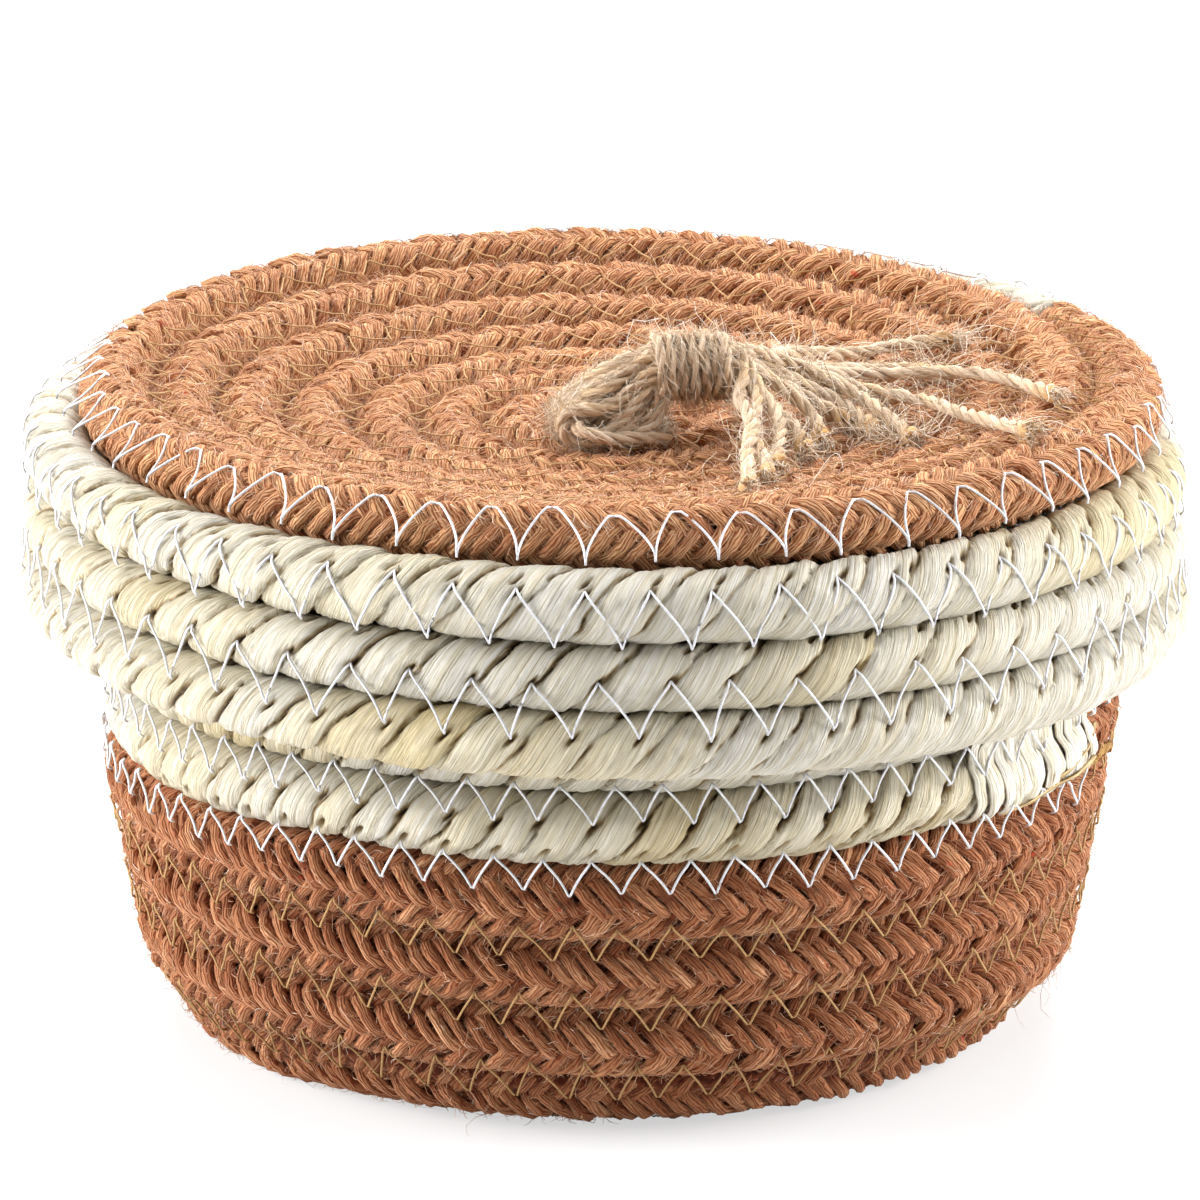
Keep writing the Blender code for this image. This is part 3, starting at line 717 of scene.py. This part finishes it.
def strandRoute(index, side, lift, rng):
    # a free strand: out of the neck, into its place in the fan, and down to lie on the lid
    start = neckCentre + forward * (tassel["neckLength"] / 2) + sideward * side + upward * lift
    away = start + forward * 1.5 * mm
    endX, endY = np.array(tassel["ends"][index]) * mm
    halfX, halfY, high = np.array(tassel["halfWay"][index]) * mm
    end = np.array([endX, endY, lidCrest(endX, endY) + tassel["lieHigh"]])
    half = np.array([halfX, halfY, lidCrest(halfX, halfY) + high])
    middle = 2 * half - (away + end) / 2
    reach = np.linalg.norm(end - away)
    waves = rng.uniform(0, 6.28, 3)
    flat = unit(np.cross(end - start, upward))
    points = [start]
    steps = 24
    for k in range(steps + 1):
        t = k / steps
        at = away * (1 - t) ** 2 + middle * 2 * t * (1 - t) + end * t ** 2
        gone = t * reach
        kink = smoothStep(gone / (12 * mm)) * (0.55 * math.sin(gone / (3.4 * mm) + waves[0]) + 0.6 * math.sin(gone / (6.3 * mm) + waves[1]))
        at = at + flat * kink * mm + upward * 0.5 * mm * math.sin(gone / (5.2 * mm) + waves[2]) * min(gone / (10 * mm), 1.0)
        at[2] = max(at[2], lidCrest(at[0], at[1]) + 1.1 * mm)
        points.append(at)
    return points


def yarnRoute(k, rng):
    # one yarn: free strand, neck, fold over the anchor, along the lid and up into the neck again, free strand
    side = tassel["sides"][k] * tassel["neckPitch"]
    lift = tassel["layers"][k] * tassel["neckPitch"]
    spread = (k - 2.5) * tassel["foldPitch"]
    eye = tassel["eye"]
    halves = []
    for sign, index in ((1, 2 * k), (-1, 2 * k + 1)):
        leg = strandRoute(index, side, sign * lift, rng)[::-1]
        neckStart = neckCentre - forward * (tassel["neckLength"] / 2) + sideward * side + upward * sign * lift
        leg.append(neckStart)
        if sign > 0:
            top = eye + sideward * spread + upward * tassel["fold"]
            for part in (0.2, 0.4, 0.6, 0.8):
                bow = sideward * (spread - side) * (smoothStep(part) - part)
                leg.append(neckStart * (1 - part) + top * part + bow + upward * tassel["arches"][k] * mm * math.sin(math.pi * part))
        else:
            # the lower leg drops behind the neck and runs along the lid, bowed to the front
            far, sag = tassel["loops"][k] * mm, tassel["sags"][k] * mm
            for ahead, rise, share in ((far + 0.4 * mm, 3.6 * mm, 0.3), (far - 0.6 * mm, 0.2 * mm, 0.6), (far - 3.4 * mm, -1.9 * mm, 0.9), (far * 0.42, -2.3 * mm, 1.0)):
                across = side * (1 - share) + spread * share
                low = eye + forward * ahead + upward * rise + sideward * (across - sag * math.sin(math.pi * ahead / (far + 4 * mm)))
                straight = neckStart * (1 - share) + (eye + sideward * (spread - 0.5 * sag) - upward * tassel["fold"]) * share
                leg.append(straight + (low - straight) * tassel["drops"][k])
        halves.append(leg)
    fold = []
    for j in range(7):
        a = math.pi / 2 + math.pi * j / 6
        turned = forward * math.cos(a) + upward * math.sin(a)
        fold.append(eye + sideward * spread + turned * tassel["fold"])
    return halves[0] + fold + halves[1][::-1]


def anchorRoute():
    # up through the hole in the lid, through the folds, along the front of the head, under the neck and down again
    eye = tassel["eye"]
    reach = 3.7 * tassel["foldPitch"]
    back, front = eye + sideward * reach, eye - sideward * reach
    low, high = lid["height"] - 4.375 * mm, lidCrest(0, 0) + 1.2 * mm
    under = eye + forward * 13.2 * mm
    under[2] = high
    return [
        np.array([-0.95 * mm, 0, low]), np.array([-0.95 * mm, 0, high - 1.5 * mm]), np.array([-1.7 * mm, -1.4 * mm, high]),
        back + sideward * 2.4 * mm - upward * 1.2 * mm, back, eye, front,
        front - sideward * 0.9 * mm + forward * 1.2 * mm - upward * 0.4 * mm, front + forward * 5 * mm - upward * 1.6 * mm,
        under - sideward * (reach - 3 * mm), under, under + sideward * (reach - 2 * mm),
        np.array([1.9 * mm, -1.8 * mm, high]), np.array([0.95 * mm, 0, high - 1.5 * mm]), np.array([0.95 * mm, 0, low]),
    ]


def knotRoute():
    # a trefoil knot inside the lid
    t = np.linspace(0, 2 * math.pi, 49)
    knot = np.stack([np.sin(t) + 2 * np.sin(2 * t), np.cos(t) - 2 * np.cos(2 * t), -np.sin(3 * t) * 1.4], -1)
    return knot * 0.85 * mm + np.array([0, 0, 77.3 * mm])


def plyRings(path, plies, plyRadius, apart, lay, seed, openEnds=(0.0, 0.0), around=7):
    # the plies of one yarn laid round its path, with painted shade on each ply's inner face, and how near a cut end it
    # is
    heading, side, up = carried(path)
    run = np.concatenate([[0.0], np.cumsum(np.linalg.norm(np.diff(path, axis=0), axis=1))])
    end = np.zeros_like(run)
    for opened, away in ((openEnds[0], run), (openEnds[1], run[-1] - run)):
        end = np.maximum(end, opened * smoothStep(1 - away / (7 * mm)))
    rings, marks = [], {"fibre": [], "tone": [], "paintedShade": [], "gold": []}
    a = np.linspace(0, 2 * math.pi, around, endpoint=False)
    for k in range(plies):
        wander = 0.5 * noise(np.stack([run / (6 * mm), run * 0 + k, run * 0], -1), seed)
        turn = 2 * math.pi * (run / lay + k / plies) + wander
        out = apart * (1 + 0.8 * end + 0.18 * noise(np.stack([run / (4 * mm), run * 0 + k, run * 0 + 7], -1), seed))
        centre = path + side * (np.cos(turn) * out)[:, None] + up * (np.sin(turn) * out)[:, None]
        plump = plyRadius * (1 + 0.16 * noise(np.stack([run / (2.5 * mm), run * 0 + k, run * 0 + 3], -1), seed) + 0.15 * end)
        angle = a[None] + turn[:, None]
        rough = 1 + 0.12 * noise(np.stack([(run / (1.2 * mm))[:, None] + a * 0, np.cos(a) * 2.2 + run[:, None] * 0, np.sin(a) * 2.2 + k + run[:, None] * 0], -1), seed + 1)
        reach = plump[:, None] * rough
        rings.append(centre[:, None] + side[:, None] * (np.cos(angle) * reach)[..., None] + up[:, None] * (np.sin(angle) * reach)[..., None])
        flat = np.ones((len(run), around))
        marks["fibre"].append(np.stack([np.cos(angle) * plyRadius / mm, np.sin(angle) * plyRadius / mm, (run / mm + 41.0 * k + seed * 13.0)[:, None] * flat], -1))
        shade = noise(np.stack([run / (8 * mm), run * 0 + k * 2.2, run * 0 + seed], -1), seed + 2)
        marks["tone"].append(np.clip(0.5 + 0.45 * shade, 0, 1)[:, None] * flat)
        # painted shade on the faces of the plies that turn in towards each other, less where the cut ends open out
        marks["paintedShade"].append(np.clip(0.5 - 0.7 * np.cos(a), 0, 1)[None] * (1 - 0.5 * end[:, None]) * flat)
        marks["gold"].append((end ** 1.5)[:, None] * flat)
    return np.stack(rings), {key: np.stack(values) for key, values in marks.items()}


def fibresOn(rings, count, length, radius, bend, rng, lift=0.5, forwardness=0.8, outside=None, slant=0.0):
    # roots spread over the rings of tubes, and fibres that leave them along the tube and outwards
    tubes, places, sides = rings.shape[:3]
    t, p, s = rng.integers(0, tubes, count), rng.integers(1, places - 1, count), rng.integers(0, sides, count)
    if outside is not None:
        found = np.argwhere(outside[:, 1:-1])
        t, p = found[rng.integers(0, len(found), count)].T + np.array([[0], [1]])
        s = rng.integers(1, sides // 2, count)
    middle = rings[t, p].mean(axis=1)
    root = rings[t, p, s]
    heading = unit(rings[t, p + 1].mean(axis=1) - rings[t, p - 1].mean(axis=1))
    out = unit(root - middle)
    way = np.where(rng.random(count) < 0.5, 1.0, -1.0)[:, None]
    direction = heading * way * forwardness + out * lift + rng.normal(0, 0.25, (count, 3))
    # round the neck they slant away from the head on their way down
    direction = direction - np.sign(direction[:, 2:]) * slant * forward
    lengths = rng.uniform(*length, count)
    return looseFibres(middle * 0.25 + root * 0.75, direction, lengths, rng.uniform(*radius, count), bend, rng)


# Materials

def cottonMaterial():
    # Dyed cotton yarn, braided: matt and fuzzy, with painted shade: darker red-brown in the grooves, so that the crests
    # look paler
    made, tree, shader = newMaterial("braided dyed cotton")
    yarn = node(tree, "ShaderNodeAttribute", attribute_name="yarn").outputs["Vector"]
    tone = node(tree, "ShaderNodeAttribute", attribute_name="tone").outputs["Fac"]
    paintedShade = node(tree, "ShaderNodeAttribute", attribute_name="paintedShade").outputs["Fac"]
    across = node(tree, "ShaderNodeAttribute", attribute_name="across").outputs["Fac"]
    # fibres along the bundle
    stretched = node(tree, "ShaderNodeMapping", {"Scale": (3.1, 3.1, 0.22)}, {"Vector": yarn}).outputs["Vector"]
    lines = node(tree, "ShaderNodeTexNoise", {"Scale": 1.0, "Detail": 3.0, "Roughness": 0.7}, {"Vector": stretched}).outputs["Fac"]
    # six or seven yarns of about 0.48 mm side by side in each bundle, with painted shade in the valleys between them
    sway = node(tree, "ShaderNodeMapping", {"Scale": (0.8, 0.8, 0.42)}, {"Vector": yarn}).outputs["Vector"]
    swayed = node(tree, "ShaderNodeTexNoise", {"Scale": 1.0, "Detail": 2.0}, {"Vector": sway}).outputs["Fac"]
    phase = node(tree, "ShaderNodeMath", {1: 2 * math.pi / 0.48}, {0: across}, operation="MULTIPLY").outputs[0]
    swing = node(tree, "ShaderNodeMath", {1: 21.0}, {0: swayed, 2: phase}, operation="MULTIPLY_ADD").outputs[0]
    wave = node(tree, "ShaderNodeMath", {}, {0: swing}, operation="SINE").outputs[0]
    yarns = node(tree, "ShaderNodeMapRange", {1: -1.0, 2: 0.4, 3: 0.0, 4: 1.0}, {0: wave}).outputs[0]
    plain = ramp(tree, lines, [(0.28, linear("#925E40")), (0.43, linear("#BC8B66")), (0.57, linear("#D0A782")), (0.72, linear("#E2C5A5"))])
    dyedAndShaded = mixColour(tree, "MULTIPLY", 1.0, plain, ramp(tree, yarns, [(0.0, linear("#B48A70")), (0.5, linear("#ECD9CB")), (0.9, linear("#FFFFFF"))]))
    relief = node(tree, "ShaderNodeMath", {1: 0.8}, {0: lines, 2: yarns}, operation="MULTIPLY_ADD").outputs[0]
    # tone: random variation of the yarn, and the wall's painted shade
    toned = mixColour(tree, "MULTIPLY", 1.0, dyedAndShaded, ramp(tree, tone, [(0.0, linear("#C39F8D")), (0.3, linear("#D9BEAF")), (0.6, linear("#FAF3EC")), (0.95, linear("#FFF9EA"))]))
    # painted shade in the grooves and pinches of the braid
    withPaintedShade = mixColour(tree, "MULTIPLY", 0.9, toned, ramp(tree, paintedShade, [(0.3, linear("#FFFFFF")), (0.75, linear("#B07C62")), (1.0, linear("#6E3C2A"))]))
    # a few fibres of other colours got into the yarn when it was dyed
    place = node(tree, "ShaderNodeTexCoord").outputs["Object"]
    specks = node(tree, "ShaderNodeTexNoise", {"Scale": 520.0, "Detail": 1.0}, {"Vector": place}).outputs["Fac"]
    red = ramp(tree, specks, [(0.76, (0, 0, 0, 1)), (0.79, (0.8, 0.8, 0.8, 1))])
    final = mixColour(tree, "MIX", red, withPaintedShade, linear("#B5452F"))
    tree.links.new(final, shader.inputs["Base Color"])
    bump = node(tree, "ShaderNodeBump", {"Strength": 0.8, "Distance": 0.00026}, {"Height": relief}).outputs["Normal"]
    tree.links.new(bump, shader.inputs["Normal"])
    shader.inputs["Roughness"].default_value = 0.95
    shader.inputs["Specular IOR Level"].default_value = 0.15
    shader.inputs["Sheen Weight"].default_value = 0.5
    shader.inputs["Sheen Roughness"].default_value = 0.5
    shader.inputs["Sheen Tint"].default_value = linear("#F2C29C")
    return made


def huskMaterial():
    # Dried corn husk: papery, faintly glossy, ribbed with fine veins, from grey-white to straw
    made, tree, shader = newMaterial("wound corn husk")
    fibre = node(tree, "ShaderNodeAttribute", attribute_name="fibre").outputs["Vector"]
    tone = node(tree, "ShaderNodeAttribute", attribute_name="tone").outputs["Fac"]
    paintedShade = node(tree, "ShaderNodeAttribute", attribute_name="paintedShade").outputs["Fac"]
    # veins of about 0.4 mm along the strip
    fine = node(tree, "ShaderNodeMapping", {"Scale": (2.6, 2.6, 0.12)}, {"Vector": fibre}).outputs["Vector"]
    veins = node(tree, "ShaderNodeTexNoise", {"Scale": 1.0, "Detail": 3.0, "Roughness": 0.7}, {"Vector": fine}).outputs["Fac"]
    broad = node(tree, "ShaderNodeMapping", {"Scale": (0.5, 0.5, 0.06)}, {"Vector": fibre}).outputs["Vector"]
    stripes = node(tree, "ShaderNodeTexNoise", {"Scale": 1.0, "Detail": 2.0}, {"Vector": broad}).outputs["Fac"]
    base = ramp(tree, tone, [(0.1, linear("#ECEAE6")), (0.4, linear("#F0ECE2")), (0.65, linear("#F1EAD6")), (0.95, linear("#E9DBB6"))])
    veined = mixColour(tree, "MULTIPLY", 1.0, base, ramp(tree, veins, [(0.27, linear("#A0967C")), (0.42, linear("#DDD7C6")), (0.52, linear("#F4F1EA")), (0.66, linear("#FFFFFF"))]))
    striped = mixColour(tree, "MULTIPLY", 0.5, veined, ramp(tree, stripes, [(0.35, linear("#ECE2C6")), (0.6, linear("#FFFFFF"))]))
    gold = node(tree, "ShaderNodeAttribute", attribute_name="gold").outputs["Fac"]
    striped = mixColour(tree, "MULTIPLY", gold, striped, linear("#E8BE6A"))
    # painted shade in the slits, creases and thread pinches
    withPaintedShade = mixColour(tree, "MULTIPLY", 1.0, striped, ramp(tree, paintedShade, [(0.2, linear("#FFFFFF")), (0.55, linear("#C2AE8A")), (0.85, linear("#6B5330")), (1.0, linear("#33241A"))]))
    tree.links.new(withPaintedShade, shader.inputs["Base Color"])
    bump = node(tree, "ShaderNodeBump", {"Strength": 1.0, "Distance": 0.0009}, {"Height": veins}).outputs["Normal"]
    tree.links.new(bump, shader.inputs["Normal"])
    shader.inputs["Roughness"].default_value = 0.48
    shader.inputs["Specular IOR Level"].default_value = 0.45
    return made


def juteMaterial():
    # Spun jute: dry, coarse and hairy, grey-beige where it has faded and golden at the fresh cuts
    made, tree, shader = newMaterial("spun jute")
    fibre = node(tree, "ShaderNodeAttribute", attribute_name="fibre").outputs["Vector"]
    tone = node(tree, "ShaderNodeAttribute", attribute_name="tone").outputs["Fac"]
    paintedShade = node(tree, "ShaderNodeAttribute", attribute_name="paintedShade").outputs["Fac"]
    gold = node(tree, "ShaderNodeAttribute", attribute_name="gold").outputs["Fac"]
    # fibres of about 0.15 mm
    stretched = node(tree, "ShaderNodeMapping", {"Scale": (6.0, 6.0, 0.35)}, {"Vector": fibre}).outputs["Vector"]
    lines = node(tree, "ShaderNodeTexNoise", {"Scale": 1.0, "Detail": 2.5, "Roughness": 0.7}, {"Vector": stretched}).outputs["Fac"]
    spun = ramp(tree, lines, [(0.28, linear("#BA9E84")), (0.45, linear("#D8C2AA")), (0.6, linear("#E0CCB4")), (0.75, linear("#E8D8C4"))])
    aged = mixColour(tree, "MULTIPLY", 1.0, spun, ramp(tree, tone, [(0.1, linear("#DAD2C6")), (0.5, linear("#FFFFFF")), (0.95, linear("#FFF3D8"))]))
    fresh = mixColour(tree, "MIX", gold, aged, mixColour(tree, "MULTIPLY", 1.0, aged, linear("#EFD7AC")))
    # painted shade between the plies
    shaded = mixColour(tree, "MULTIPLY", 0.65, fresh, ramp(tree, paintedShade, [(0.4, linear("#FFFFFF")), (1.0, linear("#93795F"))]))
    tree.links.new(shaded, shader.inputs["Base Color"])
    bump = node(tree, "ShaderNodeBump", {"Strength": 0.7, "Distance": 0.0003}, {"Height": lines}).outputs["Normal"]
    tree.links.new(bump, shader.inputs["Normal"])
    shader.inputs["Roughness"].default_value = 0.85
    shader.inputs["Specular IOR Level"].default_value = 0.25
    return made


def looseMaterial(name, stops):
    # Single loose fibres, paler than the yarn because the light comes through them
    made, tree, shader = newMaterial(name)
    tone = node(tree, "ShaderNodeAttribute", attribute_name="tone").outputs["Fac"]
    place = node(tree, "ShaderNodeTexCoord").outputs["Object"]
    speckle = node(tree, "ShaderNodeTexNoise", {"Scale": 900.0, "Detail": 1.0}, {"Vector": place}).outputs["Fac"]
    tint = mixColour(tree, "MULTIPLY", 0.35, ramp(tree, tone, stops), speckle)
    tree.links.new(tint, shader.inputs["Base Color"])
    shader.inputs["Roughness"].default_value = 0.7
    shader.inputs["Specular IOR Level"].default_value = 0.2
    shader.inputs["Sheen Weight"].default_value = 0.3
    return made


def threadMaterial(name, colour, roughness):
    # Spun polyester: smooth and slightly shiny
    made, tree, shader = newMaterial(name)
    shader.inputs["Base Color"].default_value = linear(colour)
    place = node(tree, "ShaderNodeTexCoord").outputs["Object"]
    twist = node(tree, "ShaderNodeTexNoise", {"Scale": 2500.0, "Detail": 1.0}, {"Vector": place}).outputs["Fac"]
    tint = ramp(tree, twist, [(0.3, tuple(0.8 * c for c in linear(colour)[:3]) + (1.0,)), (0.6, linear(colour))])
    tree.links.new(tint, shader.inputs["Base Color"])
    shader.inputs["Roughness"].default_value = roughness
    return made


cotton = cottonMaterial()
husk = huskMaterial()
whiteThread = threadMaterial("white sewing thread", "#D6D6DA", 0.5)
tanThread = threadMaterial("tan sewing thread", "#A88250", 0.7)
jute = juteMaterial()
looseJute = looseMaterial("loose jute fibre", [(0.0, linear("#BC9868")), (0.4, linear("#D9C0A2")), (0.85, linear("#EBDAC4")), (1.0, linear("#FBF5EC"))])
looseCotton = looseMaterial("loose cotton fibre", [(0.0, linear("#9A5430")), (0.3, linear("#C48C60")), (0.85, linear("#DDB088")), (1.0, linear("#F4E0CC"))])

print("braiding the cotton cords")
braidRings = {}
fineStep = braid["step"] * stepScale
for name, which, first, last, radius, seed, step, rider in (
    ("base_braid", "body", body["curledIn"], 4.0, body["cottonRadius"], 11, fineStep * 1.6, "basket"),
    ("wall_braid", "body", 4.0, body["wallEnd"], body["cottonRadius"], 12, fineStep, "basket"),
    ("lid_braid", "lid", lid["start"], lid["cottonEnd"], lid["cottonRadius"], 13, fineStep, "lid"),
):
    # the wall's cotton gets a lower tone than the lid's: painted shade under the lid's overhang
    piece, rings, outside = makeBraid(name, which, first, last, radius, seed, cotton, step, 0.66 if rider == "lid" else 0.15)
    braidRings[name] = (rings, outside)
    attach(piece, rider)
    replaced = {"base_braid": "base_cotton_cord", "wall_braid": "wall_cotton_cord", "lid_braid": "lid_cotton_cord"}[name]
    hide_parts(replaced)

for name, which, rider in (("base_filling", "body", "basket"), ("lid_filling", "lid", "lid")):
    piece = makeFilling(name, which, cotton)
    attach(piece, rider)

print("winding the husk cords")
for name, which, first, last, radius, seed, rider, stood in (
    ("rim_husk_wrap", "body", body["wallEnd"], body["rimEnd"], body["huskRadius"], 21, "basket", "rim_husk_cord"),
    ("lid_husk_wrap", "lid", lid["cottonEnd"], lid["skirtEnd"], lid["huskRadius"], 22, "lid", "lid_husk_cord"),
):
    piece = makeHusk(name, which, first, last, radius, seed, husk)
    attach(piece, rider)
    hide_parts(stood)

piece = makeTail("husk_wrap_end", husk)
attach(piece, "basket")

print("sewing the seams")
for seam in holes:
    for inside in (False, True):
        paths, radius = seamThread(seam, inside)
        white = "husk" in seam["name"]
        name = seam["name"].replace(" ", "_") + ("_bobbin" if inside else "_thread")
        piece = skin(name, tubeRings(paths, radius, 5), whiteThread if white else tanThread)
        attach(piece, "basket" if seam["which"] == "body" else "lid")

print("spinning the tassel")
rng = np.random.default_rng(31)
step = tassel["step"] * stepScale


def juteYarn(name, route, rider, replaced, seed, openEnds=(0.0, 0.0), plies=3, ply=None, apart=None, lay=None):
    # one twisted yarn along a route, as a piece of its own
    rings, marks = plyRings(
        smoothPath(route, step), plies, ply or tassel["ply"], apart or tassel["apart"], lay or tassel["lay"], seed, openEnds
    )
    piece = skin(name, rings, jute, marks)
    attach(piece, rider)
    if replaced:
        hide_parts(replaced)
    return rings


def fibrePiece(name, batches, material, rider):
    # many loose fibres as one piece
    rings = np.concatenate([batch[1] for batch in batches])
    tone = np.random.default_rng(len(rings)).random(len(rings))[:, None, None]
    piece = skin(name, rings, material, {"tone": tone})
    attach(piece, rider)
    return piece


print("raising the fuzz")
for name, rider, number, seed in (("lid_braid", "lid", 46000, 61), ("wall_braid", "basket", 26000, 62)):
    rings, outside = braidRings[name]
    fuzzRng = np.random.default_rng(seed)
    short = fibresOn(rings, number, (1.0 * mm, 3.0 * mm), (0.04 * mm, 0.075 * mm), 0.45, fuzzRng, 0.3, 0.95, outside)
    long = fibresOn(rings, number // 20, (4 * mm, 9 * mm), (0.03 * mm, 0.05 * mm), 0.8, fuzzRng, 0.3, 0.9, outside)
    fibrePiece(name.replace("braid", "fuzz"), [short, long], looseCotton, rider)

yarnHairs, curlFibres = [], []
for k in range(6):
    rings = juteYarn(f"jute_yarn_{k + 1}", yarnRoute(k, rng), "tassel", f"tassel_yarn_{k + 1}", 40 + k, (1.0, 1.0))
    yarnHairs.append(fibresOn(rings, 1300, (1.5 * mm, 5.0 * mm), (0.035 * mm, 0.06 * mm), 0.35, rng, 0.12, 1.2))
    yarnHairs.append(fibresOn(rings, 60, (6 * mm, 13 * mm), (0.045 * mm, 0.075 * mm), 0.9, rng, 0.9))
    # the head is the hairiest part
    inHead = np.linalg.norm(rings.mean(axis=(0, 2)) - tassel["eye"] - forward * 6 * mm, axis=1) < 11 * mm
    yarnHairs.append(fibresOn(rings[:, inHead], 220, (2 * mm, 5 * mm), (0.04 * mm, 0.07 * mm), 0.35, rng, 0.05, 1.3))
    # brushes of fibres at the cut ends
    for end, inner in ((0, 3), (-1, -4)):
        tips = rings[:, end].reshape(-1, 3)
        outward = unit(rings[:, end].mean(axis=(0, 1)) - rings[:, inner].mean(axis=(0, 1)))
        root = tips[rng.integers(0, len(tips), 60)]
        direction = outward + rng.normal(0, 0.22, (60, 3))
        yarnHairs.append(looseFibres(root, direction, rng.uniform(1.0 * mm, 3.2 * mm, 60), rng.uniform(0.05 * mm, 0.1 * mm, 60), 0.4, rng))
        # long curly ones, most of all where the middle strands end
        curls = 55 if k in (3, 5) else 6
        root = rings[:, end:end + 1 or None].reshape(-1, 3).mean(axis=0) + rng.normal(0, 2.2 * mm, (curls, 3)) * np.array([1.6, 1, 0.3])
        direction = rng.normal(0, 1, (curls, 3)) * np.array([1, 1, 0.25]) + np.array([0.3, -0.5, 0.1])
        curlFibres.append(looseFibres(root, direction, rng.uniform(6 * mm, 15 * mm, curls), rng.uniform(0.045 * mm, 0.08 * mm, curls), 1.5, rng, 16))

turns = np.linspace(0, tassel["bindingTurns"], tassel["bindingTurns"] * 16 + 1)
reach = 2.35 * tassel["neckPitch"] + tassel["ply"] + 0.35 * mm
slack = 1 + 0.05 * np.sin(turns * 2.1)
round_ = 2 * math.pi * turns
bindingRoute = (
    neckCentre + forward * ((turns / tassel["bindingTurns"] - 0.5) * tassel["neckLength"] * 0.96)[:, None]
    + sideward * (reach * slack * np.cos(round_))[:, None] + upward * (reach * slack * np.sin(round_))[:, None]
)
rings = juteYarn("neck_binding", bindingRoute, "tassel", "tassel_binding", 50, (0.3, 0.3), 2, tassel["bindingPly"], 0.32 * mm, 8 * mm)
yarnHairs.append(fibresOn(rings, 1900, (2 * mm, 5 * mm), (0.03 * mm, 0.055 * mm), 0.2, rng, 0.0, 1.5, slant=0.45))
fibrePiece("tassel_fibres", yarnHairs, looseJute, "tassel")
fibrePiece("tassel_curls", curlFibres, looseJute, "tassel")

rings = juteYarn("anchor_yarn", anchorRoute(), "lid", "tassel_anchor_cord", 55)
anchorHairs = [fibresOn(rings, 1000, (1.5 * mm, 4.5 * mm), (0.035 * mm, 0.065 * mm), 0.4, rng, 0.15)]
rings = juteYarn("inner_knot", knotRoute(), "lid", "anchor_knot", 56)
anchorHairs.append(fibresOn(rings, 200, (1.5 * mm, 3 * mm), (0.035 * mm, 0.06 * mm), 0.5, rng, 0.5))
fibrePiece("anchor_fibres", anchorHairs, looseJute, "lid")

print("setting the floor, the light and the camera")
bpy.ops.mesh.primitive_plane_add(size=6.0, location=(0, 0, 0))
floor = bpy.context.object
floor.name = "floor"
paper, tree, shader = newMaterial("white paper backdrop")
shader.inputs["Base Color"].default_value = (0.9, 0.9, 0.9, 1.0)
shader.inputs["Roughness"].default_value = 0.9
# the camera sees it nearly white, with the shadow kept
glow = node(tree, "ShaderNodeEmission", {"Strength": 1.0})
seen = node(tree, "ShaderNodeLightPath").outputs["Is Camera Ray"]
share = node(tree, "ShaderNodeMath", {1: 0.6}, {0: seen}, operation="MULTIPLY").outputs[0]
blend = node(tree, "ShaderNodeMixShader", {}, {0: share, 1: shader.outputs[0], 2: glow.outputs[0]})
tree.links.new(blend.outputs[0], tree.nodes["Material Output"].inputs["Surface"])
floor.data.materials.append(paper)

world = bpy.data.worlds.new("soft studio")
bpy.context.scene.world = world
world.use_nodes = True
background = world.node_tree.nodes["Background"]
rays = node(world.node_tree, "ShaderNodeLightPath")
strength = node(world.node_tree, "ShaderNodeMix", {2: 0.12, 3: 1.0}, {0: rays.outputs["Is Camera Ray"]}, data_type="FLOAT")
world.node_tree.links.new(strength.outputs[0], background.inputs["Strength"])
background.inputs["Color"].default_value = (1, 1, 1, 1)

for name, place, aim, size, power in (
    ("left softbox", (-1.0, 0.0, 0.42), (0, 0, 0.05), 0.8, 26.5),
    ("right softbox", (1.0, 0.05, 0.42), (0, 0, 0.05), 0.8, 22.5),
    ("overhead softbox", (0.0, -0.1, 1.1), (0, 0, 0.05), 1.2, 8.0),
    ("back softbox", (0.0, 0.8, 0.75), (0, 0, 0.05), 0.8, 20.5),
):
    lamp = bpy.data.lights.new(name, "AREA")
    lamp.size = size
    lamp.energy = power
    lampObject = bpy.data.objects.new(name, lamp)
    bpy.context.scene.collection.objects.link(lampObject)
    lampObject.location = place
    lampObject.rotation_euler = (Vector(aim) - Vector(place)).to_track_quat("-Z", "Y").to_euler()

lens = bpy.data.cameras.new("camera")
lens.lens = cameraSet["lens"]
lens.sensor_width = 36
lens.shift_x = cameraSet["shift"]
camera = bpy.data.objects.new("camera", lens)
bpy.context.scene.collection.objects.link(camera)
camera.location = cameraSet["place"]
camera.rotation_euler = (math.radians(cameraSet["tilt"]), 0, 0)
bpy.context.scene.camera = camera
bpy.context.scene.view_settings.view_transform = "Standard"
